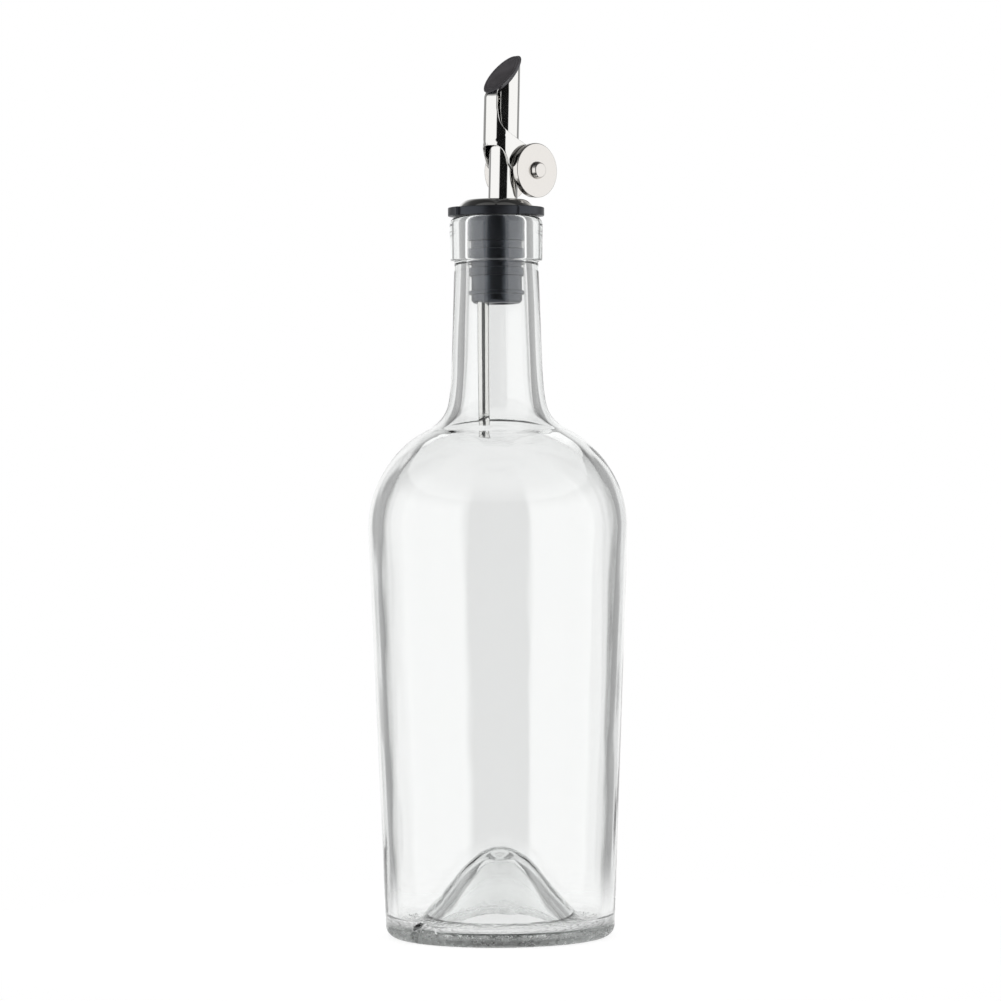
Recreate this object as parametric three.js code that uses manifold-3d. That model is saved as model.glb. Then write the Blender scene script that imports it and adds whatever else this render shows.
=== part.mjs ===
// A clear glass oil bottle with a self-closing weighted pourer.
// Millimetres, +Z up. The origin is the centre of the base, on the bottle's axis, at the plane
// that the bottle stands on. Oil pours towards +X, which is also where the two weights hang.
// The flap turns about a pivot parallel to Y.

import * as THREE from 'three';
import { mergeVertices } from 'three/addons/utils/BufferGeometryUtils.js';
import Module from 'manifold-3d';

// ---------------------------------------------------------------- driving dimensions

// Gaps between pieces
const FIXED_GAP = 0.25; // between pieces that are held together
const SHEET_GAP = 0.15; // between thin pieces stacked on each other
const RUNNING_GAP = 0.12; // radial, pivot stud in its hole
const RUBBER_RELIEF = 0.35; // radial, the stopper's ribs drawn relaxed in the bore
const FLAP_GAP = 0.2; // between the flap's arms and the spout tube

// Glass bottle
const WIDEST_RADIUS = 41.5; // at the shoulder's foot
const WIDEST_HEIGHT = 130.6;
const BODY_TAPER = 0.0372; // radius lost for each millimetre of height below the shoulder
const SHOULDER_ARC = 35.7;
const BODY_WALL = 4.0;
const HEEL_RADIUS = 4.0;
const INNER_HEEL_RADIUS = 4.0;
const BEARING_WIDTH = 5.7; // flat ring that the bottle stands on
const BASE_WALL = 4.2; // glass over the bearing ring
const PUNT_HEIGHT = 24.0; // hollow pushed up under the base
const PUNT_WALL = 4.5; // glass over the middle of the punt
const PUNT_ROUNDNESS = 2.2; // exponent of the punt's bell curve
const PUNT_FOOT = 1.6; // how far the bell curve is cut short, for a crisp foot
const NIB_RADIUS = 4.5; // small drop of glass under the middle of the punt
const NIB_DEPTH = 2.2;
const NOTCH_RADIUS = 5.4; // locating notch in the heel
const NOTCH_DEPTH = 3.2;
const NOTCH_HEIGHT = 7.0;
const NOTCH_ANGLE = 186; // degrees from +X
const BORE_RADIUS = 9.4;
const NECK_WALL = 4.05;
const NECK_TAPER = 0.0317; // radius gained for each millimetre down the neck
const NECK_FILLET = 11.6; // hollow curve between shoulder and neck
const NECK_FILLET_END = 20; // degrees of the hollow curve left when the neck's blend starts
const NECK_ROOT_SWELL = 0.9; // hollow curve stands this far outside the neck
const NECK_BLEND = 11.2; // height of the blend above the hollow curve's centre
const NECK_LENGTH = 43.0; // from the hollow curve's centre to the finish ring
const FINISH_WALL = 5.5; // finish ring outside the bore
const FINISH_HEIGHT = 14.1;
const FINISH_DRAFT = 0.2;
const FINISH_TOP_ROUND = 2.5;
const FINISH_FOOT_ROUND = 0.6;

// Stopper
const FLANGE_OVERHANG = 0.5; // beyond the finish ring
const FLANGE_THICKNESS = 2.7;
const FLANGE_BEVEL = 0.3;
const GRIP_DEPTH = 0.9; // two opposite finger recesses in the flange's edge
const GRIP_MIDDLE = 214.7; // degrees from +X
const GRIP_SPAN = 83.3; // degrees
const CORE_INSET = 1.3; // the stopper's core inside the bore
const COLLAR_HEIGHT = 8.0; // full-width top of the plug
const COLLAR_TO_RIB = 2.5; // groove under the collar
const UPPER_RIB = 4.0; // heights of the ribs
const MIDDLE_RIB = 2.6;
const LOWER_RIB = 1.1;
const UPPER_TO_MIDDLE = 1.9; // gaps between the ribs
const MIDDLE_TO_LOWER = 4.8;
const PLUG_TAIL = 2.8; // core below the lowest rib
const PLUG_BEVEL = 0.8;
const RIB_STEP_IN = 0.25; // each lower rib is this much smaller
const PLUG_SIDE_WALL = 1.15; // rubber beside the spout tube
const SPOUT_SEAT_DEPTH = 11.0; // how far the tube goes into the stopper
const OIL_PASSAGE_RADIUS = 3.9; // below the tube
const AIR_SIDE_WALL = 0.55;

// Dome cap
const DOME_RADIUS = 12.35;
const DOME_TOP_RADIUS = 9.25;
const DOME_HEIGHT = 2.35;
const DOME_SHEET = 0.6;
const VENT_RADIUS = 1.1;

// Tubes
const SPOUT_RADIUS = 4.75;
const SPOUT_WALL = 0.5;
const SPOUT_RISE = 42.6; // from the flange's top to the middle of the mouth
const SPOUT_LEAN = 2.0; // degrees, the spout leans towards the side that it pours on
const MOUTH_SLOPE = 52.0; // degrees, across the tube
const AIR_RADIUS = 1.7;
const AIR_WALL = 0.45;
const AIR_DROP = 42.8; // below the stopper
const AIR_SEAT_DEPTH = 22.0; // into the stopper

// Flap
const HOOD_SHEET = 0.5;
const HOOD_FORWARD = 1.25; // the hood's front curve, ahead of the tube
const HOOD_BULGE = 0.4; // radius of the front curve over half the width between the arms
const HOOD_TURN = 118; // degrees from +X, where the front curve gives way to the arms
const STRIP_HALF_ANGLE = 33; // degrees, width of the hood's top strip
const STRIP_FOOT_RISE = 18.5; // heights of the hood's outline over the pivot
const SHOULDER_BACK = 0.9; // the rear edge leaves the strip's foot: this far back,
const SHOULDER_DROP = 4.9; // this far down
const SADDLE_START_FRONT = 2.6; // and starts to level out ahead of the front curve's centre
const SADDLE_START_RISE = 2.2; // over the saddle
const ARM_SADDLE_RISE = 9.3;
const ARM_SADDLE_BACK = 1.4; // behind the front curve's centre
const ARM_REAR_RISE = 7.8;
const ARM_REAR_BACK = 4.9;
const HOOD_FRONT_RISE = 6.4;
const ARM_LOWER_RISE = 0.6;
const ARM_LOWER_BACK = 1.4; // arm's lower edge at that height, ahead of the front curve's centre
const ARM_FRONT_CORNER = 2.2; // how far back the hood's lower edge runs level
const ARM_END_RADIUS = 6.6;
const ARM_END_FROM = -125; // degrees round the weights' axis
const ARM_END_TO = 68;
const TAB_WIDTH = 5.0; // tongue that the pad is moulded on
const TAB_LENGTH = 8.0;
const PAD_OVERLAP = 0.25; // pad beyond the tube's mouth
const PAD_FLARE = 0.6; // radius gained from the pad's foot to its top face
const PAD_TOP_SLOPE = 48.5; // degrees
const PAD_TOP_RISE = 0.45; // middle of the pad's top face over the middle of the mouth
const PAD_LEAN = 1.7; // top face ahead of the bottom face
const PAD_ROUND = 0.35; // softened edge round the top face

// Pivot and weights
const PIVOT_BEHIND_TUBE_AXIS = 1.5;
const STUD_RADIUS = 1.0;
const WEIGHT_RADIUS = 8.75;
const WEIGHT_THICKNESS = 2.3;
const WEIGHT_BEVEL = 0.3;
const WEIGHT_REACH = 6.0; // behind the pivot
const WEIGHT_DROP = 0.9; // below the pivot
const WEIGHT_CLEARANCE = 1.05; // over the dome
const RIVET_RADIUS = 1.25;
const BUTTON_BASE_RADIUS = 2.9;
const BUTTON_TOP_RADIUS = 2.25;
const BUTTON_HEIGHT = 1.55;
const BUTTON_ROUND = 0.35;

// Facets round each circle, multiples of four
const BOTTLE_SIDES = 40;
const RING_SIDES = 36;
const SMALL_SIDES = 24;
const TUBE_SIDES = 32;

// Steps along each curve of an outline
const PUNT_STEPS = 12;
const INNER_PUNT_STEPS = 11;
const HEEL_STEPS = 4;
const INNER_HEEL_STEPS = 3;
const SHOULDER_STEPS = 7;
const HOLLOW_STEPS = 3;
const NECK_BLEND_STEPS = 4;
const FINISH_FOOT_STEPS = 2;
const FINISH_TOP_STEPS = 4;
const DOME_STEPS = 5;
const HOOD_FRONT_STEPS = 8;
const HOOD_SIDE_STEPS = 3;
const REAR_EDGE_STEPS = 16;
const FRONT_EDGE_STEPS = 6;
const ARM_END_STEPS = 9;

// ---------------------------------------------------------------- derived sizes

const radians = THREE.MathUtils.degToRad;

const shoulderCentre = { r: WIDEST_RADIUS - SHOULDER_ARC, z: WIDEST_HEIGHT };
const baseRadius = WIDEST_RADIUS - BODY_TAPER * WIDEST_HEIGHT;
const bearingOuter = baseRadius - HEEL_RADIUS;
const bearingInner = bearingOuter - BEARING_WIDTH;

const neckTopRadius = BORE_RADIUS + NECK_WALL;
const neckBlendRadius = neckTopRadius + NECK_TAPER * (NECK_LENGTH - NECK_BLEND);
const filletCentreRadius = neckBlendRadius + NECK_ROOT_SWELL + NECK_FILLET;
const filletCentre = {
  r: filletCentreRadius,
  z: shoulderCentre.z
    + Math.sqrt((SHOULDER_ARC + NECK_FILLET) ** 2 - (filletCentreRadius - shoulderCentre.r) ** 2),
};
const shoulderEndAngle = Math.atan2(
  filletCentre.z - shoulderCentre.z,
  filletCentre.r - shoulderCentre.r,
);
const finishFoot = filletCentre.z + NECK_LENGTH;
const finishTop = finishFoot + FINISH_HEIGHT;
const finishRadius = BORE_RADIUS + FINISH_WALL;

const flangeFoot = finishTop + FIXED_GAP;
const flangeTop = flangeFoot + FLANGE_THICKNESS;
const flangeRadius = finishRadius + FLANGE_OVERHANG;
const ribRadius = BORE_RADIUS - RUBBER_RELIEF;
const coreRadius = BORE_RADIUS - CORE_INSET;
const collarFoot = flangeFoot - COLLAR_HEIGHT;
const upperRibTop = collarFoot - COLLAR_TO_RIB;
const middleRibTop = upperRibTop - UPPER_RIB - UPPER_TO_MIDDLE;
const lowerRibTop = middleRibTop - MIDDLE_RIB - MIDDLE_TO_LOWER;
const plugFoot = lowerRibTop - LOWER_RIB - PLUG_TAIL;

const spoutX = ribRadius - PLUG_SIDE_WALL - FIXED_GAP - SPOUT_RADIUS;
const spoutFoot = flangeTop - SPOUT_SEAT_DEPTH;
const mouthHeight = flangeTop + SPOUT_RISE;
const mouthRise = Math.tan(radians(MOUTH_SLOPE));
const airX = -(coreRadius - AIR_SIDE_WALL - FIXED_GAP - AIR_RADIUS);
const airFoot = plugFoot - AIR_DROP;
const airTop = plugFoot + AIR_SEAT_DEPTH;

const domeFoot = flangeTop + SHEET_GAP;
const domeTop = domeFoot + DOME_HEIGHT;

const weightZ = domeTop + WEIGHT_CLEARANCE + WEIGHT_RADIUS;
const pivotX = spoutX + PIVOT_BEHIND_TUBE_AXIS;
const pivotZ = weightZ + WEIGHT_DROP;
const weightX = pivotX + WEIGHT_REACH;

const hoodX = spoutX - HOOD_FORWARD;
const armInner = SPOUT_RADIUS + FLAP_GAP;
const armOuter = armInner + HOOD_SHEET;
const hoodInnerRadius = armInner + HOOD_BULGE;
const hoodOuterRadius = hoodInnerRadius + HOOD_SHEET;
const hoodFront = hoodX - hoodOuterRadius;
const padFoot = mouthHeight + SHEET_GAP / Math.cos(radians(MOUTH_SLOPE));
const padRadius = SPOUT_RADIUS + PAD_OVERLAP;
const padTopRadius = padRadius + PAD_FLARE;
const padTopX = spoutX - PAD_LEAN;
const padTopRise = Math.tan(radians(PAD_TOP_SLOPE));
const stripTop = padFoot - mouthRise * padRadius - SHEET_GAP;
const weightInner = armOuter + SHEET_GAP;
const weightOuter = weightInner + WEIGHT_THICKNESS;

// ---------------------------------------------------------------- tools

const wasm = await Module();
wasm.setup();

// A closed mesh as a solid: shared corners merged, collapsed triangles dropped.
function solid(geometry) {
  geometry.deleteAttribute('normal');
  geometry.deleteAttribute('uv');
  const merged = mergeVertices(geometry, 1e-5);
  const index = Array.from(merged.index.array);
  const kept = [];
  for (let i = 0; i < index.length; i += 3) {
    const [a, b, c] = index.slice(i, i + 3);
    if (a !== b && b !== c && c !== a) {
      kept.push(a, b, c);
    }
  }
  const shape = new wasm.Manifold(new wasm.Mesh({
    numProp: 3,
    vertProperties: new Float32Array(merged.attributes.position.array),
    triVerts: new Uint32Array(kept),
  }));
  return shape;
}

// A named mesh made of one solid.
function piece(name, shape, material) {
  const mesh = shape.getMesh();
  const geometry = new THREE.BufferGeometry();
  geometry.setAttribute('position', new THREE.BufferAttribute(mesh.vertProperties.slice(), 3));
  geometry.setIndex(new THREE.BufferAttribute(mesh.triVerts.slice(), 1));
  geometry.computeVertexNormals();
  const result = new THREE.Mesh(geometry, material);
  result.name = name;
  return result;
}

const at = (r, z) => new THREE.Vector2(r, z);

// Points of an arc in a profile, angles in degrees, both ends included.
function arc(centreR, centreZ, radius, from, to, steps) {
  const points = [];
  for (let i = 0; i <= steps; i += 1) {
    const angle = radians(from + (to - from) * i / steps);
    points.push(at(centreR + radius * Math.cos(angle), centreZ + radius * Math.sin(angle)));
  }
  return points;
}

// Points of a soft bend from start to end, whose sides both aim at the corner.
function bend(start, corner, end, steps) {
  return new THREE.QuadraticBezierCurve(start, corner, end).getPoints(steps);
}

// A profile (radius, height) turned round the Z axis, points in order round the section with the
// solid on their left.
function turned(profile, sides) {
  return solid(new THREE.LatheGeometry(profile, sides).rotateX(Math.PI / 2));
}

// A ring profile is closed by repeating its first point.
function turnedRing(profile, sides) {
  return turned([...profile, profile[0].clone()], sides);
}

// A cylinder on the Z axis, moved to x, between two heights.
function rod(radius, x, bottom, top, sides) {
  const geometry = new THREE.CylinderGeometry(radius, radius, top - bottom, sides);
  return solid(geometry.rotateX(Math.PI / 2).translate(x, 0, (bottom + top) / 2));
}

// A cylinder along Y at (x, z), between two places on Y.
function crossRod(radius, x, z, near, far, sides) {
  const geometry = new THREE.CylinderGeometry(radius, radius, far - near, sides);
  return solid(geometry.translate(x, (near + far) / 2, z));
}

// A flat outline in X and Z, given thickness along Y on both sides of the middle.
function slab(outline, halfWidth) {
  const shape = new THREE.Shape(outline);
  const geometry = new THREE.ExtrudeGeometry(shape, { depth: 2 * halfWidth, bevelEnabled: false });
  return solid(geometry.rotateX(Math.PI / 2).translate(0, halfWidth, 0));
}

// A solid drawn upright, leaned with the spout.
function leaned(shape) {
  return shape
    .translate([-spoutX, 0, -flangeTop])
    .rotate([0, SPOUT_LEAN, 0])
    .translate([spoutX, 0, flangeTop]);
}

// Rings of points, bottom to top, joined into one closed body.
function lofted(rings) {
  const sides = rings[0].length;
  const corners = rings.flat();
  const triangles = [];
  for (let level = 0; level < rings.length - 1; level += 1) {
    for (let i = 0; i < sides; i += 1) {
      const a = level * sides + i;
      const b = level * sides + (i + 1) % sides;
      triangles.push(a, b, b + sides, a, b + sides, a + sides);
    }
  }
  const top = (rings.length - 1) * sides;
  for (let i = 1; i < sides - 1; i += 1) {
    triangles.push(0, i + 1, i);
    triangles.push(top, top + i, top + i + 1);
  }
  const geometry = new THREE.BufferGeometry().setFromPoints(corners);
  geometry.setIndex(triangles);
  return solid(geometry);
}

// A circle in plan round (x, 0), lifted onto a slope that rises towards +X.
function slopedRing(x, radius, height, rise, sides) {
  const ring = [];
  for (let i = 0; i < sides; i += 1) {
    const angle = 2 * Math.PI * i / sides;
    const offset = radius * Math.cos(angle);
    ring.push(new THREE.Vector3(x + offset, radius * Math.sin(angle), height + rise * offset));
  }
  return ring;
}

// ---------------------------------------------------------------- glass bottle

// Bell curve from the middle of the base out to a foot radius, as profile points.
function bellCurve(peak, foot, footRadius, steps) {
  const width = footRadius / Math.log(peak / foot) ** (1 / PUNT_ROUNDNESS);
  const points = [];
  for (let i = 0; i <= steps; i += 1) {
    const r = footRadius * i / steps;
    points.push(at(r, peak * Math.exp(-((r / width) ** PUNT_ROUNDNESS))));
  }
  return points;
}

// The hollow under the base, with its nib.
function puntUnderside() {
  const points = bellCurve(PUNT_HEIGHT + PUNT_FOOT, PUNT_FOOT, bearingInner, PUNT_STEPS);
  return points.map((point) => {
    const share = Math.min(point.x / NIB_RADIUS, 1);
    const nib = NIB_DEPTH * (1 + Math.cos(Math.PI * share)) / 2;
    return at(point.x, point.y - PUNT_FOOT - nib);
  });
}

// Shoulder, hollow curve and neck, from the body's line up to the finish; wall is the depth
// inside the outer surface.
function shoulderAndNeck(wall) {
  const blendStart = 180 + NECK_FILLET_END;
  const shoulder = arc(
    shoulderCentre.r,
    shoulderCentre.z,
    SHOULDER_ARC - wall,
    -THREE.MathUtils.radToDeg(Math.atan(BODY_TAPER)),
    THREE.MathUtils.radToDeg(shoulderEndAngle),
    SHOULDER_STEPS,
  );
  const hollow = arc(
    filletCentre.r,
    filletCentre.z,
    NECK_FILLET + wall,
    180 + THREE.MathUtils.radToDeg(shoulderEndAngle),
    blendStart,
    HOLLOW_STEPS,
  );
  const start = hollow[hollow.length - 1];
  const end = at(neckBlendRadius - wall, filletCentre.z + NECK_BLEND);
  const corner = bendCorner(start, radians(NECK_FILLET_END), end);
  return [...shoulder, ...hollow.slice(1), ...bend(start, corner, end, NECK_BLEND_STEPS).slice(1)];
}

// Where the hollow curve's tangent meets the line of the neck.
function bendCorner(start, lean, end) {
  const drop = Math.tan(lean);
  const rise = (start.x - end.x - NECK_TAPER * (end.y - start.y)) / (drop - NECK_TAPER);
  return at(start.x - drop * rise, start.y + rise);
}

function finishRing() {
  const foot = finishRadius - FINISH_DRAFT;
  const neckSide = at(neckTopRadius, finishFoot - FINISH_FOOT_ROUND);
  return [
    neckSide,
    at(neckTopRadius + FINISH_FOOT_ROUND, finishFoot),
    ...arc(
      foot - FINISH_FOOT_ROUND,
      finishFoot + FINISH_FOOT_ROUND,
      FINISH_FOOT_ROUND,
      -90,
      0,
      FINISH_FOOT_STEPS,
    ),
    ...arc(
      finishRadius - FINISH_TOP_ROUND,
      finishTop - FINISH_TOP_ROUND,
      FINISH_TOP_ROUND,
      0,
      90,
      FINISH_TOP_STEPS,
    ),
    at(BORE_RADIUS + FINISH_FOOT_ROUND, finishTop),
    at(BORE_RADIUS, finishTop - FINISH_FOOT_ROUND),
    at(BORE_RADIUS, finishFoot),
  ];
}

function heel() {
  return arc(bearingOuter, HEEL_RADIUS, HEEL_RADIUS, -90, 0, HEEL_STEPS);
}

function insideOfBase(wallRadius) {
  const foot = bellCurve(
    PUNT_HEIGHT + PUNT_WALL,
    BASE_WALL,
    wallRadius - INNER_HEEL_RADIUS,
    INNER_PUNT_STEPS,
  );
  const corner = arc(
    wallRadius - INNER_HEEL_RADIUS,
    BASE_WALL + INNER_HEEL_RADIUS,
    INNER_HEEL_RADIUS,
    -90,
    0,
    INNER_HEEL_STEPS,
  );
  return [...foot, ...corner.slice(1)];
}

function glassBottle() {
  const innerBaseRadius = baseRadius - BODY_WALL + BODY_TAPER * (BASE_WALL + INNER_HEEL_RADIUS);
  const outside = [...puntUnderside(), ...heel(), ...shoulderAndNeck(0), ...finishRing()];
  const inside = [...insideOfBase(innerBaseRadius), ...shoulderAndNeck(BODY_WALL)];
  const body = turned([...outside, ...inside.reverse()], BOTTLE_SIDES);
  return body.subtract(locatingNotch());
}

// A short arch cut into the heel from outside.
function locatingNotch() {
  const inner = baseRadius - NOTCH_DEPTH;
  const outer = baseRadius + HEEL_RADIUS;
  const geometry = new THREE.CylinderGeometry(
    NOTCH_RADIUS,
    NOTCH_RADIUS,
    outer - inner,
    SMALL_SIDES,
  );
  geometry.rotateZ(Math.PI / 2);
  geometry.translate((inner + outer) / 2, 0, NOTCH_HEIGHT - NOTCH_RADIUS);
  geometry.rotateZ(radians(NOTCH_ANGLE));
  return solid(geometry);
}

// ---------------------------------------------------------------- stopper and dome

function ribbedPlug() {
  const middleRadius = ribRadius - RIB_STEP_IN;
  const lowerRadius = ribRadius - RIB_STEP_IN / 2;
  const rib = (radius, top, height) => [at(radius, top - height), at(radius, top)];
  const land = (z) => at(coreRadius, z);
  return [
    at(0, plugFoot),
    at(coreRadius - PLUG_BEVEL, plugFoot),
    land(plugFoot + PLUG_BEVEL),
    land(lowerRibTop - LOWER_RIB),
    ...rib(lowerRadius, lowerRibTop, LOWER_RIB),
    land(lowerRibTop),
    land(middleRibTop - MIDDLE_RIB),
    ...rib(middleRadius, middleRibTop, MIDDLE_RIB),
    land(middleRibTop),
    land(upperRibTop - UPPER_RIB),
    ...rib(ribRadius, upperRibTop, UPPER_RIB),
    land(upperRibTop),
    land(collarFoot),
    at(ribRadius, collarFoot),
    at(ribRadius, flangeFoot),
    at(flangeRadius - FLANGE_BEVEL, flangeFoot),
    at(flangeRadius, flangeFoot + FLANGE_BEVEL),
    at(flangeRadius, flangeTop - FLANGE_BEVEL),
    at(flangeRadius - FLANGE_BEVEL, flangeTop),
    at(0, flangeTop),
  ];
}

// A stretch of the flange's edge that is cut back for a finger, round its middle in degrees.
function gripRecess(middle) {
  const half = GRIP_SPAN / 2;
  const shape = new THREE.Shape();
  const outer = flangeRadius + GRIP_DEPTH;
  const inner = flangeRadius - GRIP_DEPTH;
  shape.absarc(0, 0, outer, radians(middle - half), radians(middle + half), false);
  shape.absarc(0, 0, inner, radians(middle + half), radians(middle - half), true);
  const geometry = new THREE.ExtrudeGeometry(shape, {
    depth: FLANGE_THICKNESS + 2 * FIXED_GAP,
    bevelEnabled: false,
    curveSegments: SMALL_SIDES / 2,
  });
  return solid(geometry.translate(0, 0, flangeFoot - FIXED_GAP));
}

function stopper() {
  const over = flangeTop + FLANGE_THICKNESS;
  const under = plugFoot - FLANGE_THICKNESS;
  const seat = rod(SPOUT_RADIUS + FIXED_GAP, spoutX, spoutFoot - FIXED_GAP, over, TUBE_SIDES);
  return turned(ribbedPlug(), RING_SIDES)
    .subtract(gripRecess(GRIP_MIDDLE))
    .subtract(gripRecess(GRIP_MIDDLE - 180))
    .subtract(leaned(seat))
    .subtract(rod(OIL_PASSAGE_RADIUS, spoutX, under, over, SMALL_SIDES))
    .subtract(rod(AIR_RADIUS + FIXED_GAP, airX, under, airTop + FIXED_GAP, SMALL_SIDES))
    .subtract(rod(VENT_RADIUS, airX, under, over, SMALL_SIDES));
}

// A dished cap of thin sheet: a flat top, a soft shoulder and a flared rim.
function domeCap() {
  const shoulder = DOME_RADIUS - DOME_TOP_RADIUS;
  const skin = (depth) => bend(
    at(DOME_RADIUS - depth, domeFoot),
    at(DOME_TOP_RADIUS + shoulder / 3 - depth / 2, domeTop - depth),
    at(DOME_TOP_RADIUS - depth, domeTop - depth),
    DOME_STEPS,
  );
  const outside = [at(DOME_RADIUS, domeFoot), ...skin(0).slice(1)];
  const inside = skin(DOME_SHEET);
  const shell = turned(
    [...outside, at(0, domeTop), at(0, domeTop - DOME_SHEET), ...inside.reverse(), outside[0].clone()],
    RING_SIDES,
  );
  const over = domeTop + DOME_HEIGHT;
  const hole = rod(SPOUT_RADIUS + SHEET_GAP, spoutX, flangeTop, over, TUBE_SIDES);
  return shell
    .subtract(leaned(hole))
    .subtract(rod(VENT_RADIUS, airX, flangeTop, over, SMALL_SIDES));
}

// ---------------------------------------------------------------- tubes

function spoutTube() {
  const bore = SPOUT_RADIUS - SPOUT_WALL;
  const below = spoutFoot - SPOUT_WALL;
  const beyond = mouthHeight + SPOUT_WALL;
  const outside = lofted([
    slopedRing(spoutX, SPOUT_RADIUS, spoutFoot, 0, TUBE_SIDES),
    slopedRing(spoutX, SPOUT_RADIUS, mouthHeight, mouthRise, TUBE_SIDES),
  ]);
  const inside = lofted([
    slopedRing(spoutX, bore, below, 0, TUBE_SIDES),
    slopedRing(spoutX, bore, beyond, mouthRise, TUBE_SIDES),
  ]);
  return outside.subtract(inside);
}

function airTube() {
  return turnedRing([
    at(AIR_RADIUS - AIR_WALL, airFoot),
    at(AIR_RADIUS, airFoot),
    at(AIR_RADIUS, airTop),
    at(AIR_RADIUS - AIR_WALL, airTop),
  ], SMALL_SIDES).translate([airX, 0, 0]);
}

// A short stud welded to the side of the spout tube; side is -1 or 1.
function pivotStud(side) {
  const tip = side * (armOuter - RUNNING_GAP / 2);
  const stud = crossRod(STUD_RADIUS, pivotX, pivotZ, Math.min(0, tip), Math.max(0, tip), SMALL_SIDES);
  const tube = rod(
    SPOUT_RADIUS + SHEET_GAP,
    spoutX,
    pivotZ - 2 * STUD_RADIUS,
    pivotZ + 2 * STUD_RADIUS,
    TUBE_SIDES,
  );
  return stud.subtract(tube);
}

// ---------------------------------------------------------------- flap

// One face of the hood's sheet seen from above: a round front that bends into a flat arm.
function hoodSection(radius, halfWidth) {
  const front = arc(hoodX, 0, radius, 180, HOOD_TURN, HOOD_FRONT_STEPS);
  const start = front[front.length - 1];
  const run = (halfWidth - start.y) / Math.tan(radians(HOOD_TURN - 90));
  const corner = at(start.x + run, halfWidth);
  const side = bend(start, corner, at(corner.x + run, halfWidth), HOOD_SIDE_STEPS);
  const end = at(weightX + WEIGHT_RADIUS, halfWidth);
  return [...front, ...side.slice(1), end];
}

// The U-shaped sheet, as long as the whole hood.
function hoodChannel() {
  const mirrored = (points) => points.map((point) => at(point.x, -point.y)).reverse();
  const outer = hoodSection(hoodOuterRadius, armOuter);
  const inner = hoodSection(hoodInnerRadius, armInner);
  const outline = [
    ...mirrored(outer).slice(0, -1),
    ...outer,
    ...[...inner].reverse(),
    ...mirrored(inner).reverse().slice(1),
  ];
  const geometry = new THREE.ExtrudeGeometry(new THREE.Shape(outline), {
    depth: mouthHeight - domeTop,
    bevelEnabled: false,
  });
  return solid(geometry.translate(0, 0, domeTop));
}

// Side view of the hood: strip at the front, swept back into the arms that carry the weights.
function hoodOutline() {
  const stripX = hoodX - hoodOuterRadius * Math.cos(radians(STRIP_HALF_ANGLE));
  const before = hoodFront - HOOD_SHEET;
  const upper = new THREE.CatmullRomCurve3([
    new THREE.Vector3(stripX, 0, stripTop),
    new THREE.Vector3(stripX, 0, pivotZ + STRIP_FOOT_RISE),
    new THREE.Vector3(stripX + SHOULDER_BACK, 0, pivotZ + STRIP_FOOT_RISE - SHOULDER_DROP),
    new THREE.Vector3(
      hoodX - SADDLE_START_FRONT,
      0,
      pivotZ + ARM_SADDLE_RISE + SADDLE_START_RISE,
    ),
    new THREE.Vector3(hoodX + ARM_SADDLE_BACK, 0, pivotZ + ARM_SADDLE_RISE),
    new THREE.Vector3(hoodX + ARM_REAR_BACK, 0, pivotZ + ARM_REAR_RISE),
  ], false, 'centripetal');
  const frontFoot = pivotZ + HOOD_FRONT_RISE;
  const lower = bend(
    at(hoodFront, frontFoot),
    at(hoodFront + ARM_FRONT_CORNER, frontFoot),
    at(hoodX - ARM_LOWER_BACK, pivotZ + ARM_LOWER_RISE),
    FRONT_EDGE_STEPS,
  );
  const armEnd = arc(weightX, weightZ, ARM_END_RADIUS, ARM_END_FROM, ARM_END_TO, ARM_END_STEPS);
  return [
    at(before, stripTop),
    at(before, frontFoot),
    ...lower,
    ...armEnd,
    ...upper.getPoints(REAR_EDGE_STEPS).reverse().map((point) => at(point.x, point.z)),
  ];
}

// The tongue at the top of the strip, bent back along the mouth; spare is extra room round it.
function hoodTongue(spare) {
  const slope = radians((MOUTH_SLOPE + PAD_TOP_SLOPE) / 2);
  const thickness = HOOD_SHEET + 2 * spare;
  const geometry = new THREE.BoxGeometry(TAB_LENGTH + 2 * spare, TAB_WIDTH + 2 * spare, thickness);
  geometry.translate(TAB_LENGTH / 2, 0, 0);
  geometry.rotateY(-slope);
  const startX = hoodFront + HOOD_SHEET / 2;
  const under = padFoot + mouthRise * (startX - spoutX);
  const over = mouthHeight + PAD_TOP_RISE + padTopRise * (startX - padTopX);
  return solid(geometry.translate(startX, 0, (under + over) / 2));
}

function hood() {
  const sheet = hoodChannel().intersect(slab(hoodOutline(), hoodOuterRadius + HOOD_SHEET));
  const reach = hoodOuterRadius + HOOD_SHEET;
  const studHole = crossRod(STUD_RADIUS + RUNNING_GAP, pivotX, pivotZ, -reach, reach, SMALL_SIDES);
  const rivetHole = crossRod(RIVET_RADIUS + SHEET_GAP, weightX, weightZ, -reach, reach, SMALL_SIDES);
  return sheet.add(hoodTongue(0)).subtract(studHole).subtract(rivetHole);
}

// The rubber pad that closes the mouth, moulded over the hood's tongue.
function sealPad() {
  const top = mouthHeight + PAD_TOP_RISE;
  const body = lofted([
    slopedRing(spoutX, padRadius, padFoot, mouthRise, RING_SIDES),
    slopedRing(padTopX, padTopRadius, top - PAD_ROUND, padTopRise, RING_SIDES),
    slopedRing(padTopX, padTopRadius - PAD_ROUND, top, padTopRise, RING_SIDES),
  ]);
  return body.subtract(hoodTongue(SHEET_GAP));
}

// ---------------------------------------------------------------- weights

// A round piece on the weights' axis, its profile (radius, distance outwards from the middle),
// turned about Y; side is -1 or 1.
function onWeightAxis(profile, side, sides) {
  const shape = turned(profile, sides);
  const placed = side > 0 ? shape.rotate([-90, 0, 0]) : shape.rotate([90, 0, 0]);
  return placed.translate([weightX, 0, weightZ]);
}

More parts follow.
